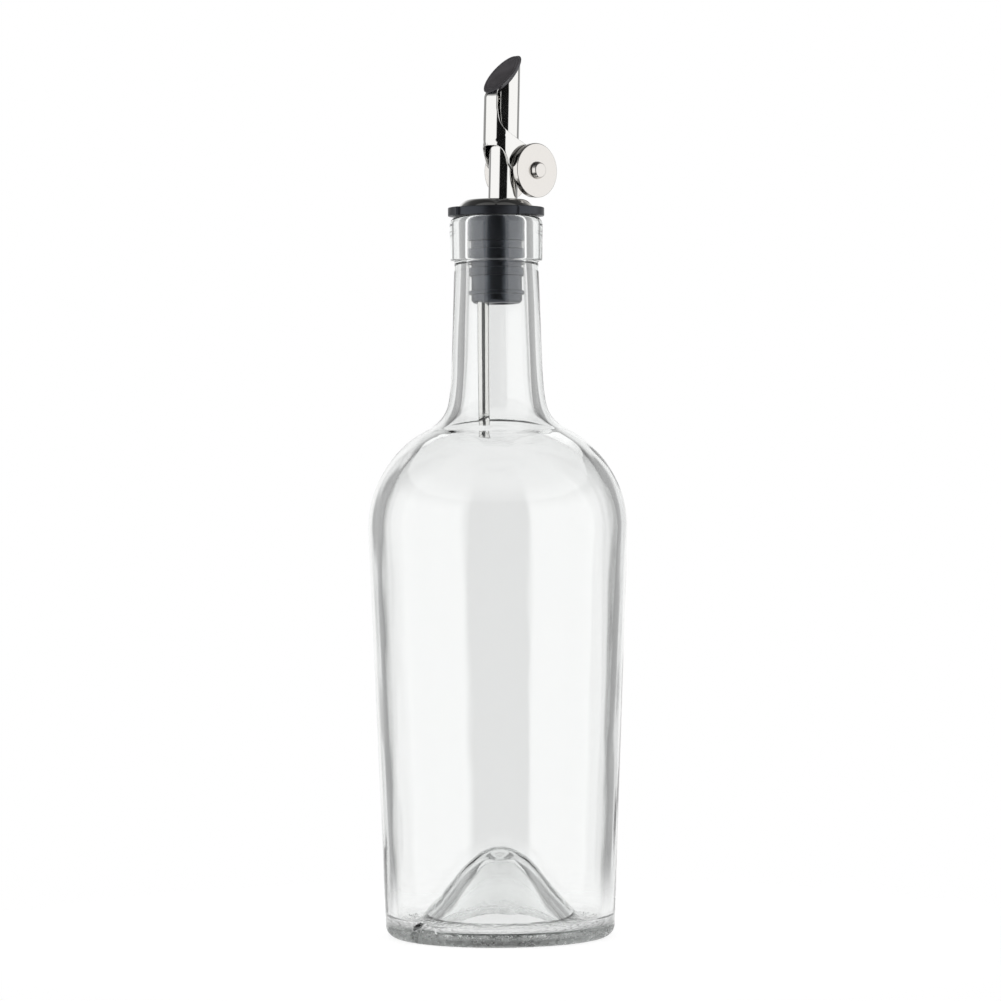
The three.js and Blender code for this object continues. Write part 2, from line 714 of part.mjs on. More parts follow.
function weightDisc(side) {
  const hole = RIVET_RADIUS + SHEET_GAP;
  const profile = [
    at(hole, weightInner),
    at(WEIGHT_RADIUS - WEIGHT_BEVEL, weightInner),
    at(WEIGHT_RADIUS, weightInner + WEIGHT_BEVEL),
    at(WEIGHT_RADIUS, weightOuter - WEIGHT_BEVEL),
    at(WEIGHT_RADIUS - WEIGHT_BEVEL, weightOuter),
    at(hole, weightOuter),
  ];
  return onWeightAxis([...profile, profile[0].clone()], side, RING_SIDES);
}

// The rivet through arms and weights, with a button head at each end.
function weightRivet() {
  const seat = weightOuter + SHEET_GAP;
  const top = seat + BUTTON_HEIGHT;
  const half = [
    at(0, 0),
    at(RIVET_RADIUS, 0),
    at(RIVET_RADIUS, seat),
    at(BUTTON_BASE_RADIUS, seat),
    at(BUTTON_TOP_RADIUS + BUTTON_ROUND / 2, top - BUTTON_ROUND),
    at(BUTTON_TOP_RADIUS - BUTTON_ROUND, top),
    at(0, top),
  ];
  const near = half.slice(2).map((point) => at(point.x, -point.y)).reverse();
  const profile = [...near, ...half.slice(2)];
  return onWeightAxis(profile, 1, SMALL_SIDES);
}

// ---------------------------------------------------------------- assembly

// The spout and what is on it are drawn upright and then leaned, turned about a line through the
// tube's axis at the top of the flange.
function leanedGroup() {
  const turn = new THREE.Group();
  turn.position.set(spoutX, 0, flangeTop);
  turn.rotation.y = radians(SPOUT_LEAN);
  const back = new THREE.Group();
  back.position.set(-spoutX, 0, -flangeTop);
  turn.add(back);
  return { turn, back };
}

const glass = new THREE.MeshStandardMaterial({
  color: 0xe8eeea,
  roughness: 0.04,
  metalness: 0,
  transparent: true,
  opacity: 0.35,
});
const rubber = new THREE.MeshStandardMaterial({ color: 0x1c1c20, roughness: 0.55, metalness: 0 });
const polished = new THREE.MeshStandardMaterial({ color: 0xd8d8d6, roughness: 0.08, metalness: 1 });
const satin = new THREE.MeshStandardMaterial({ color: 0xcfcbc6, roughness: 0.32, metalness: 1 });

const group = new THREE.Group();

group.add(
  piece('glass_bottle', glassBottle(), glass),
  piece('stopper', stopper(), rubber),
  piece('dome_cap', domeCap(), polished),
  piece('air_tube', airTube(), polished),
);

const spout = leanedGroup();
spout.back.add(
  piece('spout_tube', spoutTube(), polished),
  piece('pivot_stud_near', pivotStud(-1), polished),
  piece('pivot_stud_far', pivotStud(1), polished),
);

const flap = leanedGroup();
flap.back.add(
  piece('flap_hood', hood(), polished),
  piece('seal_pad', sealPad(), rubber),
  piece('weight_disc_near', weightDisc(-1), satin),
  piece('weight_disc_far', weightDisc(1), satin),
  piece('weight_rivet', weightRivet(), satin),
);

group.add(spout.turn, flap.turn);

export default group;
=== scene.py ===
"""A clear glass oil bottle with a weighted pourer that closes itself.

Sizes are in millimetres until a piece becomes a mesh. +Z is up, the bottle stands on z = 0 with its
axis through the origin, oil pours towards +X, and the flap turns about a line parallel to Y.
"""

import math

import bmesh
import bpy
import numpy as np
from mathutils import Matrix, Vector


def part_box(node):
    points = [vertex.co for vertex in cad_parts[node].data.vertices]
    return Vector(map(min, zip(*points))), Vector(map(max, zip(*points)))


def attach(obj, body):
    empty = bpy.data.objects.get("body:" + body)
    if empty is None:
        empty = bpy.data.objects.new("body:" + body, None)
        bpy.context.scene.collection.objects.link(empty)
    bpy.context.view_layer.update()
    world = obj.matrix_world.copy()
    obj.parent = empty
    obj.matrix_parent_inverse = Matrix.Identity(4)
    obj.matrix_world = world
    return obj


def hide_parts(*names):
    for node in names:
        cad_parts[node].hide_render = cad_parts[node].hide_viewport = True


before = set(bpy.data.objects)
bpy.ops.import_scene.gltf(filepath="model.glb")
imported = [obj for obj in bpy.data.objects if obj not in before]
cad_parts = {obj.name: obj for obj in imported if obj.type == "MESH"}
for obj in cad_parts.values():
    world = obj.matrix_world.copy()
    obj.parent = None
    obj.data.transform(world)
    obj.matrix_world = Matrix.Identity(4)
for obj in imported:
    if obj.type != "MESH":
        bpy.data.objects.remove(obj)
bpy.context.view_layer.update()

MM = 1000.0  # millimetres in a metre


# ---------------------------------------------------------------- places, from the frame


def box_mm(node):
    """Lowest and highest corner of a CAD node, in millimetres."""
    low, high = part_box(node)
    return np.array(low) * MM, np.array(high) * MM


GLASS_LOW, GLASS_HIGH = box_mm("glass_bottle")
STOPPER_LOW, STOPPER_HIGH = box_mm("stopper")
DOME_LOW, DOME_HIGH = box_mm("dome_cap")
AIR_LOW, AIR_HIGH = box_mm("air_tube")
DISC_LOW, DISC_HIGH = box_mm("weight_disc_near")

FINISH_TOP = GLASS_HIGH[2]
PLUG_FOOT = STOPPER_LOW[2]
FLANGE_TOP = STOPPER_HIGH[2]
DOME_FOOT = DOME_LOW[2]
DOME_TOP = DOME_HIGH[2]
AIR_X = (AIR_LOW[0] + AIR_HIGH[0]) / 2

# ---------------------------------------------------------------- sizes, in millimetres

FIXED_GAP = 0.25
SHEET_GAP = 0.15

# Glass bottle
WIDEST_RADIUS = 41.5
WIDEST_HEIGHT = 130.6
BODY_TAPER = 0.0372  # radius lost for each millimetre of height below the shoulder
SHOULDER_ARC = 35.7
BODY_WALL = 4.0
HEEL_RADIUS = 4.0
LOWER_WALL_TOP = 9.6  # end of the straight stretch above the heel
LOWER_WALL_SPREAD = 0.2
BEARING_WIDTH = 5.7
BASE_WALL = 4.2
PUNT_HEIGHT = 24.0
PUNT_WALL = 4.5
PUNT_ROUNDNESS = 2.2
PUNT_FOOT = 1.6
NIB_RADIUS = 4.5
NIB_DEPTH = 2.2
NOTCH_RADIUS = 5.4
NOTCH_DEPTH = 3.2
NOTCH_HEIGHT = 7.0
NOTCH_ANGLE = 186.0  # degrees from +X
NOTCH_EDGE = 0.7  # width of the notch's moulded edge
NOTCH_REACH = 11.0  # degrees to each side of the notch where the columns are close together
BORE_RADIUS = 9.4
NECK_WALL = 4.05
NECK_TAPER = 0.0317
NECK_FILLET = 11.6
NECK_FILLET_END = 20.0
NECK_ROOT_SWELL = 0.9
NECK_BLEND = 11.2
NECK_LENGTH = 43.0
FINISH_WALL = 5.5
FINISH_DRAFT = 0.2
FINISH_TOP_ROUND = 2.5
FINISH_FOOT_ROUND = 0.6
SEAM_BELOW_TOP = 4.7  # parting line round the finish ring
SEAM_PROUD = 0.08
SEAM_WIDTH = 0.22
MOULDED_CORNER = 0.5
STIPPLE_TOP = 4.2  # height where the stipple of the foot starts
STIPPLE_FULL = 2.4  # and where it is at its strongest

# Stopper
FLANGE_THICKNESS = 2.7
FLANGE_BEVEL = 0.3
FLANGE_OVERHANG = 0.5
GRIP_DEPTH = 0.9
GRIP_MIDDLE = 214.7
GRIP_SPAN = 83.3
GRIP_BLEND = 1.2  # degrees over which the recess falls away
RUBBER_RELIEF = 0.35
CORE_INSET = 1.3
COLLAR_HEIGHT = 8.0
COLLAR_TO_RIB = 2.5
UPPER_RIB = 4.0
MIDDLE_RIB = 2.6
LOWER_RIB = 1.1
UPPER_TO_MIDDLE = 1.9
MIDDLE_TO_LOWER = 4.8
PLUG_BEVEL = 0.8
RIB_STEP_IN = 0.25
SPOUT_SEAT_DEPTH = 11.0
OIL_PASSAGE_RADIUS = 3.9
WET_EDGE = 0.4  # height over which the plug's oily shine starts
CUTTER_SPARE = 3.0  # how far a cutter stands out of the piece that it cuts

# Dome cap
DOME_RADIUS = 12.35
DOME_TOP_RADIUS = 9.25
DOME_SHEET = 0.6
VENT_RADIUS = 1.1

# Tubes
SPOUT_X = 2.9  # the spout's axis where it leaves the flange
SPOUT_RADIUS = 4.75
SPOUT_WALL = 0.5
SPOUT_RISE = 42.6
SPOUT_LEAN = math.radians(2.0)
SPOUT_LIP = 0.12
MOUTH_SLOPE = math.radians(52.0)
MOUTH_BAND = 3.0  # length of tube below the mouth that follows its slope
AIR_RADIUS = 1.7
AIR_WALL = 0.45
AIR_LIP = 0.1

# Flap
HOOD_SHEET = 0.5
HOOD_X = 1.65  # centre of the hood's front curve
HOOD_RADIUS = 5.6  # middle of the sheet
HOOD_TURN = math.radians(118)
ARM_HALF_WIDTH = 5.2
STRIP_HALF_ANGLE = math.radians(33)
STRIP_FOOT_RISE = 18.5
SHOULDER_BACK = 0.75
SHOULDER_DROP = 4.9
SADDLE_START_FRONT = 2.6
SADDLE_START_RISE = 2.2
ARM_SADDLE_BACK = 1.4
ARM_SADDLE_RISE = 9.3
ARM_REAR_BACK = 4.9
ARM_REAR_RISE = 7.8
HOOD_FRONT_RISE = 6.4
ARM_LOWER_RISE = 0.6
ARM_LOWER_BACK = 1.4
ARM_FRONT_CORNER = 2.2
ARM_END_RADIUS = 6.6
UNDER_ARM_ANGLES = (-125, -32)  # degrees round the weights' axis, from the front to the tip
OVER_ARM_ANGLES = (68, -25)
TONGUE_LENGTH = 8.0
TONGUE_WIDTH = 5.0
TONGUE_BEND = 2.0  # radius of the bend between strip and tongue
TONGUE_FLATTEN = 2.0  # length past the bend over which the tongue becomes flat
SHEET_EDGE = 0.24  # rounding of the sheet's cut edges
PAD_RADIUS = 5.0
PAD_TOP_RADIUS = 5.6
PAD_TOP_SLOPE = math.radians(48.5)
PAD_TOP_RISE = 0.45
PAD_TOP_X = SPOUT_X - 1.7
PAD_ROUND = 0.35
PAD_WAIST = 0.12
PAD_FOOT_ROUND = 0.25
PAD_SPARE = 0.1  # air round the tongue in the pad
TONGUE_SPARE_WIDTH = 1.06  # the pad's slot is this much wider than the tongue
PAD_GROOVE = 4.55  # radius of the moulded groove inside the pad's rim
PAD_GROOVE_WIDTH = 0.18
PAD_GROOVE_DEPTH = 0.16

# Pivot and weights, drawn upright
PIVOT_X = SPOUT_X + 1.5
PIVOT_Z = 246.154
WEIGHT_X = 10.4
WEIGHT_Z = 245.254
WEIGHT_RADIUS = 8.75
WEIGHT_BEVEL = 0.45
WEIGHT_INNER = -DISC_HIGH[1]
WEIGHT_OUTER = -DISC_LOW[1]
STUD_HOLE = 1.12
RIVET_RADIUS = 1.25
BUTTON_BASE_RADIUS = 2.9
BUTTON_TOP_RADIUS = 2.25
BUTTON_HEIGHT = 1.55
BUTTON_ROUND = 0.35
PIN_HOLE_REACH = 9.0  # half the length of the cutters across the flap

# Fineness of the meshes: points along a curve, or round a circle
BODY_STEP = 2.5  # degrees between two columns of the bottle and the stopper
NOTCH_COLUMNS = 80
PUNT_STEPS = 60
HEEL_STEPS = 20
INNER_CORNER_STEPS = 12
LOWER_WALL_STEPS = 24
SHOULDER_STEPS = 44
HOLLOW_STEPS = 20
NECK_STEPS = 14
FINISH_SIDE_STEPS = 60
FINISH_TOP_STEPS = 14
SMALL_ROUND_STEPS = 6
GRIP_COLUMNS = 9
DOME_STEPS = 18
DOME_RINGS = 6
HOOD_FRONT_STEPS = 60
HOOD_BEND_STEPS = 12
HOOD_ARM_STEPS = 8
HOOD_OUTLINE_STEPS = 60
STRIP_ROWS = 22
TURN_ROWS = 16
ARM_ROWS = 30
EDGE_COLUMNS = 5
MIDDLE_COLUMNS = 20
PAD_SIDE_RINGS = 12
PAD_RIM_RINGS = 6
PAD_FACE_RINGS = 12
ROUND_SIDES = 144
RIVET_SIDES = 96
SPOUT_SIDES = 128
AIR_SIDES = 64
PAD_SIDES = 120

MOUTH_Z = FLANGE_TOP + SPOUT_RISE
MOUTH_RISE = math.tan(MOUTH_SLOPE)
PAD_FOOT = MOUTH_Z + SHEET_GAP / math.cos(MOUTH_SLOPE)


# ---------------------------------------------------------------- lines and curves

SMALLEST_CORNER = 12  # degrees of turn from which a corner is softened
LARGEST_SHARE = 0.4  # of a stretch that a softened corner may take


def arc(centre, radius, start, end, steps):
    """Points on a circle from one angle to another, in degrees."""
    angle = np.radians(np.linspace(start, end, steps + 1))
    return np.stack([centre[0] + radius * np.cos(angle), centre[1] + radius * np.sin(angle)], 1)


def bend(start, corner, end, steps):
    """Quadratic curve whose ends aim at the corner: (1-t)^2 start + 2t(1-t) corner + t^2 end."""
    t = np.linspace(0, 1, steps + 1)[:, None]
    return (1 - t) ** 2 * np.array(start) + 2 * t * (1 - t) * np.array(corner) + t ** 2 * np.array(end)


def straight(start, end, steps):
    """Evenly spaced points from start to end."""
    t = np.linspace(0, 1, steps + 1)[:, None]
    return (1 - t) * np.array(start, float) + t * np.array(end, float)


def smoothstep(value):
    """0 below 0, 1 above 1, and 3v^2 - 2v^3 between."""
    v = np.clip(value, 0, 1)
    return v * v * (3 - 2 * v)


def flowing(points, steps):
    """A centripetal Catmull-Rom curve: between two points, the blend of the lines and parabolas
    through the four nearest ones, with knots spaced by the square root of the distance."""
    p = np.array(points, float)
    p = np.vstack([2 * p[0] - p[1], p, 2 * p[-1] - p[-2]])
    knots = np.concatenate([[0], np.cumsum(np.sqrt(np.linalg.norm(np.diff(p, axis=0), axis=1)))])
    t = np.linspace(knots[1], knots[-2], steps + 1)
    i = np.clip(np.searchsorted(knots, t, "right") - 1, 1, len(p) - 3)

    def mix(a, b, ta, tb):
        share = ((t - ta) / (tb - ta))[:, None]
        return (1 - share) * a + share * b

    k = [knots[i + j] for j in (-1, 0, 1, 2)]
    lines = [mix(p[i + j - 1], p[i + j], k[j], k[j + 1]) for j in range(3)]
    curves = [mix(lines[j], lines[j + 1], k[j], k[j + 2]) for j in range(2)]
    return mix(curves[0], curves[1], k[1], k[2])


def along(points, shares):
    """Points of a line at shares of its length."""
    length = np.concatenate([[0], np.cumsum(np.linalg.norm(np.diff(points, axis=0), axis=1))])
    where = np.asarray(shares) * length[-1]
    return np.stack([np.interp(where, length, points[:, i]) for i in range(points.shape[1])], 1)


def softened(profile, reach, closed=False, steps=3):
    """Every clear corner becomes a small quadratic curve, reach long on each side, or less where
    the stretches beside it are short."""
    p = np.asarray(profile, float)
    before = p - np.roll(p, 1, axis=0)
    after = np.roll(p, -1, axis=0) - p
    size_before = np.maximum(np.linalg.norm(before, axis=1), 1e-9)[:, None]
    size_after = np.maximum(np.linalg.norm(after, axis=1), 1e-9)[:, None]
    turn = np.sum(before / size_before * after / size_after, axis=1)
    sharp = turn < math.cos(math.radians(SMALLEST_CORNER))
    if not closed:
        sharp[[0, -1]] = False
    start = p - before / size_before * np.minimum(reach, LARGEST_SHARE * size_before)
    end = p + after / size_after * np.minimum(reach, LARGEST_SHARE * size_after)
    t = np.linspace(0, 1, steps + 1)[None, :, None]
    curve = (1 - t) ** 2 * start[:, None] + 2 * t * (1 - t) * p[:, None] + t ** 2 * end[:, None]
    curve[~sharp] = p[~sharp][:, None]
    points = curve.reshape(-1, 2)
    step = np.linalg.norm(points - np.roll(points, 1, axis=0), axis=1)
    step[0] = 1
    return points[step > 1e-6]


# ---------------------------------------------------------------- meshes


def quads(rows, columns, loop_rows=False, loop_columns=True):
    """Faces of a grid of points: each joins a point, its neighbour and the same two a row on."""
    a, b = np.meshgrid(
        np.arange(rows if loop_rows else rows - 1),
        np.arange(columns if loop_columns else columns - 1),
        indexing="ij",
    )
    over, right = (a + 1) % rows, (b + 1) % columns
    corners = [a * columns + b, a * columns + right, over * columns + right, over * columns + b]
    return np.stack(corners, -1).reshape(-1, 4)


def closed_mesh(name, points, faces):
    """A mesh in metres whose doubled points at seams and poles are merged, faces outward."""
    mesh = bpy.data.meshes.new(name)
    mesh.from_pydata((np.asarray(points).reshape(-1, 3) / MM).tolist(), [], faces.tolist())
    shape = bmesh.new()
    shape.from_mesh(mesh)
    bmesh.ops.remove_doubles(shape, verts=shape.verts, dist=1e-7)
    bmesh.ops.dissolve_degenerate(shape, edges=shape.edges, dist=1e-8)
    bmesh.ops.recalc_face_normals(shape, faces=shape.faces)
    shape.to_mesh(mesh)
    shape.free()
    return mesh


def new_object(name, mesh):
    """An object at the origin that shows a mesh."""
    made = bpy.data.objects.new(name, mesh)
    bpy.context.scene.collection.objects.link(made)
    return made


def cut(made, *cutters):
    """Takes the cutters' solids out of an object's mesh, for holes."""
    for cutter in cutters:
        hole = made.modifiers.new("hole", "BOOLEAN")
        hole.operation = "DIFFERENCE"
        hole.solver = "EXACT"
        hole.object = cutter
    graph = bpy.context.evaluated_depsgraph_get()
    mesh = bpy.data.meshes.new_from_object(made.evaluated_get(graph))
    made.modifiers.clear()
    old = made.data
    made.data = mesh
    bpy.data.meshes.remove(old)
    for cutter in cutters:
        bpy.data.objects.remove(cutter)
    return made


def finished(made, body, material, replaced, crease=35):
    """Smooth shading up to a crease angle, a material, and the piece's place among the bodies."""
    made.data.shade_smooth()
    made.data.set_sharp_from_angle(angle=math.radians(crease))
    made.data.materials.clear()
    made.data.materials.append(material)
    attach(made, body)
    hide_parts(replaced)
    return made


def turned(profile, angles, axis_x=0.0):
    """A profile (radius, height) turned round an upright axis: x = r cos a, y = r sin a, z = h."""
    r, z = profile[:, :1], profile[:, 1:]
    x = axis_x + r * np.cos(angles)
    y = r * np.sin(angles)
    return np.stack([x, y, np.broadcast_to(z, x.shape)], -1)


def turned_about_y(profile, angles, x, z):
    """A profile (radius, place along Y) turned round a line parallel to Y through (x, z)."""
    r, y = profile[:, :1], profile[:, 1:]
    around = x + r * np.cos(angles)
    return np.stack([around, np.broadcast_to(y, around.shape), z + r * np.sin(angles)], -1)


def leaned(points):
    """Turns points drawn upright with the spout, about a line along Y through its foot."""
    x = points[..., 0] - SPOUT_X
    z = points[..., 2] - FLANGE_TOP
    c, s = math.cos(SPOUT_LEAN), math.sin(SPOUT_LEAN)
    return np.stack([SPOUT_X + x * c + z * s, points[..., 1], FLANGE_TOP + z * c - x * s], -1)


def circle_angles(sides):
    """Evenly spaced angles once round."""
    return np.linspace(0, 2 * math.pi, sides, endpoint=False)


def rod(radius, x, bottom, top, sides=64, lean=False):
    """An upright cylinder as a cutter."""
    profile = np.array([(0, bottom), (radius, bottom), (radius, top), (0, top)])
    points = turned(profile, circle_angles(sides), x)
    if lean:
        points = leaned(points)
    return new_object("cutter", closed_mesh("cutter", points, quads(4, sides)))


def cross_rod(radius, x, z, reach, sides=48):
    """A leaned cylinder along Y as a cutter."""
    profile = np.array([(0, -reach), (radius, -reach), (radius, reach), (0, reach)])
    points = leaned(turned_about_y(profile, circle_angles(sides), x, z))
    return new_object("cutter", closed_mesh("cutter", points, quads(4, sides)))


# ---------------------------------------------------------------- materials


def add_node(tree, kind, inputs=None, **settings):
    """A node with its settings and the values of its inputs."""
    node = tree.nodes.new(kind)
    for key, value in settings.items():
        setattr(node, key, value)
    for key, value in (inputs or {}).items():
        node.inputs[key].default_value = value
    return node


def new_group(name, inputs, outputs):
    """A shader group with float inputs (name, default) and float outputs."""
    group = bpy.data.node_groups.new(name, "ShaderNodeTree")
    for label, value in inputs:
        socket = group.interface.new_socket(label, in_out="INPUT", socket_type="NodeSocketFloat")
        socket.default_value = value
    for label in outputs:
        group.interface.new_socket(label, in_out="OUTPUT", socket_type="NodeSocketFloat")
    start = group.nodes.new("NodeGroupInput")
    end = group.nodes.new("NodeGroupOutput")
    return group, start, end


def handling_haze():
    """Broad soft patches left by handling: a roughness that drifts between two values."""
    group, start, end = new_group(
        "handling_haze",
        [("Patch Scale", 60.0), ("Clean Roughness", 0.05), ("Hazy Roughness", 0.12)],
        ["Roughness", "Haze"],
    )
    link = group.links.new
    place = add_node(group, "ShaderNodeTexCoord")
    patches = add_node(
        group, "ShaderNodeTexNoise", {"Detail": 4.0, "Roughness": 0.6, "Distortion": 0.4}
    )
    spread = add_node(group, "ShaderNodeMapRange", {"From Min": 0.42, "From Max": 0.66})
    result = add_node(group, "ShaderNodeMapRange")
    link(place.outputs["Object"], patches.inputs["Vector"])
    link(start.outputs["Patch Scale"], patches.inputs["Scale"])
    link(patches.outputs["Fac"], spread.inputs["Value"])
    link(spread.outputs["Result"], result.inputs["Value"])
    link(start.outputs["Clean Roughness"], result.inputs["To Min"])
    link(start.outputs["Hazy Roughness"], result.inputs["To Max"])
    link(result.outputs["Result"], end.inputs["Roughness"])
    link(spread.outputs["Result"], end.inputs["Haze"])
    return group


def polishing_lines():
    """Fine lines left by polishing: noise drawn out along one direction."""
    group, start, end = new_group(
        "polishing_lines",
        [("Line Scale", 900.0), ("Stretch X", 1.0), ("Stretch Y", 1.0), ("Stretch Z", 0.03)],
        ["Height"],
    )
    link = group.links.new
    place = add_node(group, "ShaderNodeTexCoord")
    stretch = add_node(group, "ShaderNodeCombineXYZ")
    drawn = add_node(group, "ShaderNodeVectorMath", operation="MULTIPLY")
    lines = add_node(group, "ShaderNodeTexNoise", {"Detail": 3.0, "Roughness": 0.55})
    for axis in "XYZ":
        link(start.outputs["Stretch " + axis], stretch.inputs[axis])
    link(place.outputs["Object"], drawn.inputs[0])
    link(stretch.outputs["Vector"], drawn.inputs[1])
    link(drawn.outputs["Vector"], lines.inputs["Vector"])
    link(start.outputs["Line Scale"], lines.inputs["Scale"])
    link(lines.outputs["Fac"], end.inputs["Height"])
    return group


def height_mask():
    """A mask that is 0 above one height, 1 below another and fades between them."""
    group, start, end = new_group(
        "height_mask", [("Clear Height", 0.002), ("Full Height", 0.001)], ["Mask"]
    )
    link = group.links.new
    place = add_node(group, "ShaderNodeTexCoord")
    axes = add_node(group, "ShaderNodeSeparateXYZ")
    mask = add_node(group, "ShaderNodeMapRange")
    link(place.outputs["Object"], axes.inputs["Vector"])
    link(axes.outputs["Z"], mask.inputs["Value"])
    link(start.outputs["Clear Height"], mask.inputs["From Min"])
    link(start.outputs["Full Height"], mask.inputs["From Max"])
    link(mask.outputs["Result"], end.inputs["Mask"])
    return group


HAZE = handling_haze()
LINES = polishing_lines()
LOW_DOWN = height_mask()


def place_group(tree, group, values):
    """A group in a material, with the values of its named inputs."""
    node = add_node(tree, "ShaderNodeGroup", node_tree=group)
    for key, value in values.items():
        node.inputs[key].default_value = value
    return node


def new_material(name, **shader_values):
    """A material with a Principled shader whose constant values are set on its own sockets."""
    material = bpy.data.materials.new(name)
    material.use_nodes = True
    tree = material.node_tree
    shader = tree.nodes["Principled BSDF"]
    for key, value in shader_values.items():
        shader.inputs[key.replace("_", " ")].default_value = value
    return material, tree, shader


def add_bump(tree, shader, height, strength, distance):
    """Relief from a height, into the shader's normal."""
    bump = add_node(tree, "ShaderNodeBump", {"Strength": strength, "Distance": distance})
    tree.links.new(height, bump.inputs["Height"])
    tree.links.new(bump.outputs["Normal"], shader.inputs["Normal"])


def polished_steel():
    """Bright steel with faint lines along the tube and a little haze."""
    material, tree, shader = new_material(
        "polished_steel", Base_Color=(0.69, 0.685, 0.67, 1), Metallic=1.0
    )
    haze = place_group(
        tree, HAZE, {"Patch Scale": 90.0, "Clean Roughness": 0.045, "Hazy Roughness": 0.1}
    )
    lines = place_group(tree, LINES, {"Line Scale": 1400.0, "Stretch Z": 0.02})
    tree.links.new(haze.outputs["Roughness"], shader.inputs["Roughness"])
    add_bump(tree, shader, lines.outputs["Height"], 0.025, 0.00002)
    return material


def satin_steel():
    """Steel with a fine blasted grain, for the weights and their rivet."""
    material, tree, shader = new_material(
        "satin_steel", Base_Color=(0.62, 0.6, 0.575, 1), Metallic=1.0
    )
    haze = place_group(
        tree, HAZE, {"Patch Scale": 160.0, "Clean Roughness": 0.11, "Hazy Roughness": 0.17}
    )
    grain = place_group(tree, LINES, {"Line Scale": 5200.0, "Stretch Z": 1.0})
    tree.links.new(haze.outputs["Roughness"], shader.inputs["Roughness"])
    add_bump(tree, shader, grain.outputs["Height"], 0.12, 0.00003)
    return material


def moulded_rubber(name, clean, chalky, dry_gloss, wet_gloss):
    """Moulded black rubber, a little chalky in patches, between two tones. Below the flange it is
    wet with oil, which makes it shine more."""
    material, tree, shader = new_material(name, IOR=1.62, Specular_Tint=(0.8, 0.87, 1.0, 1))
    dry_from = FLANGE_TOP - FLANGE_THICKNESS
    wet = place_group(tree, LOW_DOWN, {
        "Clear Height": dry_from / MM,
        "Full Height": (dry_from - WET_EDGE) / MM,
    })
    gloss = add_node(tree, "ShaderNodeMapRange", {"To Min": dry_gloss, "To Max": wet_gloss})
    tree.links.new(wet.outputs["Mask"], gloss.inputs["Value"])
    tree.links.new(gloss.outputs["Result"], shader.inputs["Specular IOR Level"])
    haze = place_group(
        tree, HAZE, {"Patch Scale": 120.0, "Clean Roughness": 0.34, "Hazy Roughness": 0.46}
    )
    grain = place_group(tree, LINES, {"Line Scale": 3800.0, "Stretch Z": 1.0})
    tone = add_node(tree, "ShaderNodeMix", data_type="RGBA")
    tone.inputs["A"].default_value = clean
    tone.inputs["B"].default_value = chalky
    tree.links.new(haze.outputs["Haze"], tone.inputs["Factor"])
    tree.links.new(tone.outputs["Result"], shader.inputs["Base Color"])
    tree.links.new(haze.outputs["Roughness"], shader.inputs["Roughness"])
    add_bump(tree, shader, grain.outputs["Height"], 0.25, 0.00004)
    return material


def wavy_relief(tree, shader, stipple, foot):
    """The slow waves of blown glass, with the stipple of the mould on top of them at the foot."""
    waves = place_group(tree, LINES, {"Line Scale": 24.0, "Stretch Z": 0.3})
    marked = add_node(tree, "ShaderNodeMath", operation="MULTIPLY")
    slow = add_node(tree, "ShaderNodeBump", {"Strength": 1.0, "Distance": 0.0008})
    fine = add_node(tree, "ShaderNodeBump", {"Strength": 1.0, "Distance": 0.0016})
    tree.links.new(stipple, marked.inputs[0])
    tree.links.new(foot, marked.inputs[1])
    tree.links.new(waves.outputs["Height"], slow.inputs["Height"])
    tree.links.new(marked.outputs["Value"], fine.inputs["Height"])
    tree.links.new(slow.outputs["Normal"], fine.inputs["Normal"])
    tree.links.new(fine.outputs["Normal"], shader.inputs["Normal"])


def frost(tree, shader, stipple, foot):
    """A mottled roughness at the foot, where the bottle stands and rubs."""
    mottled = add_node(tree, "ShaderNodeMapRange", {
        "From Min": 0.35, "From Max": 0.65, "To Min": 0.15, "To Max": 0.65,
    })
    rough = add_node(tree, "ShaderNodeMath", operation="MULTIPLY")
    tree.links.new(stipple, mottled.inputs["Value"])
    tree.links.new(mottled.outputs["Result"], rough.inputs[0])
    tree.links.new(foot, rough.inputs[1])
    tree.links.new(rough.outputs["Value"], shader.inputs["Roughness"])


def clear_glass():
    """Flint glass with a faint green-grey tint, slow waves and a stippled, frosted foot."""
    material, tree, shader = new_material(
        "clear_glass",
        Base_Color=(0.95, 0.952, 0.951, 1),
        Metallic=0.0,
        Roughness=0.0,
        IOR=1.5,
        Transmission_Weight=1.0,
    )
    tint = add_node(
        tree, "ShaderNodeVolumeAbsorption", {"Color": (0.42, 0.58, 0.5, 1), "Density": 5.0}
    )
    tree.links.new(tint.outputs["Volume"], tree.nodes["Material Output"].inputs["Volume"])
    stipple = place_group(tree, LINES, {"Line Scale": 420.0, "Stretch Z": 1.0})
    foot = place_group(tree, LOW_DOWN, {
        "Clear Height": STIPPLE_TOP / MM,
        "Full Height": STIPPLE_FULL / MM,
    })
    wavy_relief(tree, shader, stipple.outputs["Height"], foot.outputs["Mask"])
    frost(tree, shader, stipple.outputs["Height"], foot.outputs["Mask"])
    return material


GLASS = clear_glass()
RUBBER = moulded_rubber(
    "black_rubber", (0.003, 0.003, 0.0035, 1), (0.007, 0.0065, 0.0075, 1), 0.42, 1.0
)
PAD_RUBBER = moulded_rubber(
    "pad_rubber", (0.03, 0.027, 0.029, 1), (0.045, 0.041, 0.044, 1), 0.42, 0.42
)
POLISHED = polished_steel()
SATIN = satin_steel()

# ---------------------------------------------------------------- glass bottle


def bell_curve(peak, foot, foot_radius, steps):
    """Height = peak exp(-(r / w)^n), with w chosen so that it falls to foot at the foot radius."""
    width = foot_radius / math.log(peak / foot) ** (1 / PUNT_ROUNDNESS)
    r = np.linspace(0, foot_radius, steps + 1)
    return np.stack([r, peak * np.exp(-((r / width) ** PUNT_ROUNDNESS))], 1)


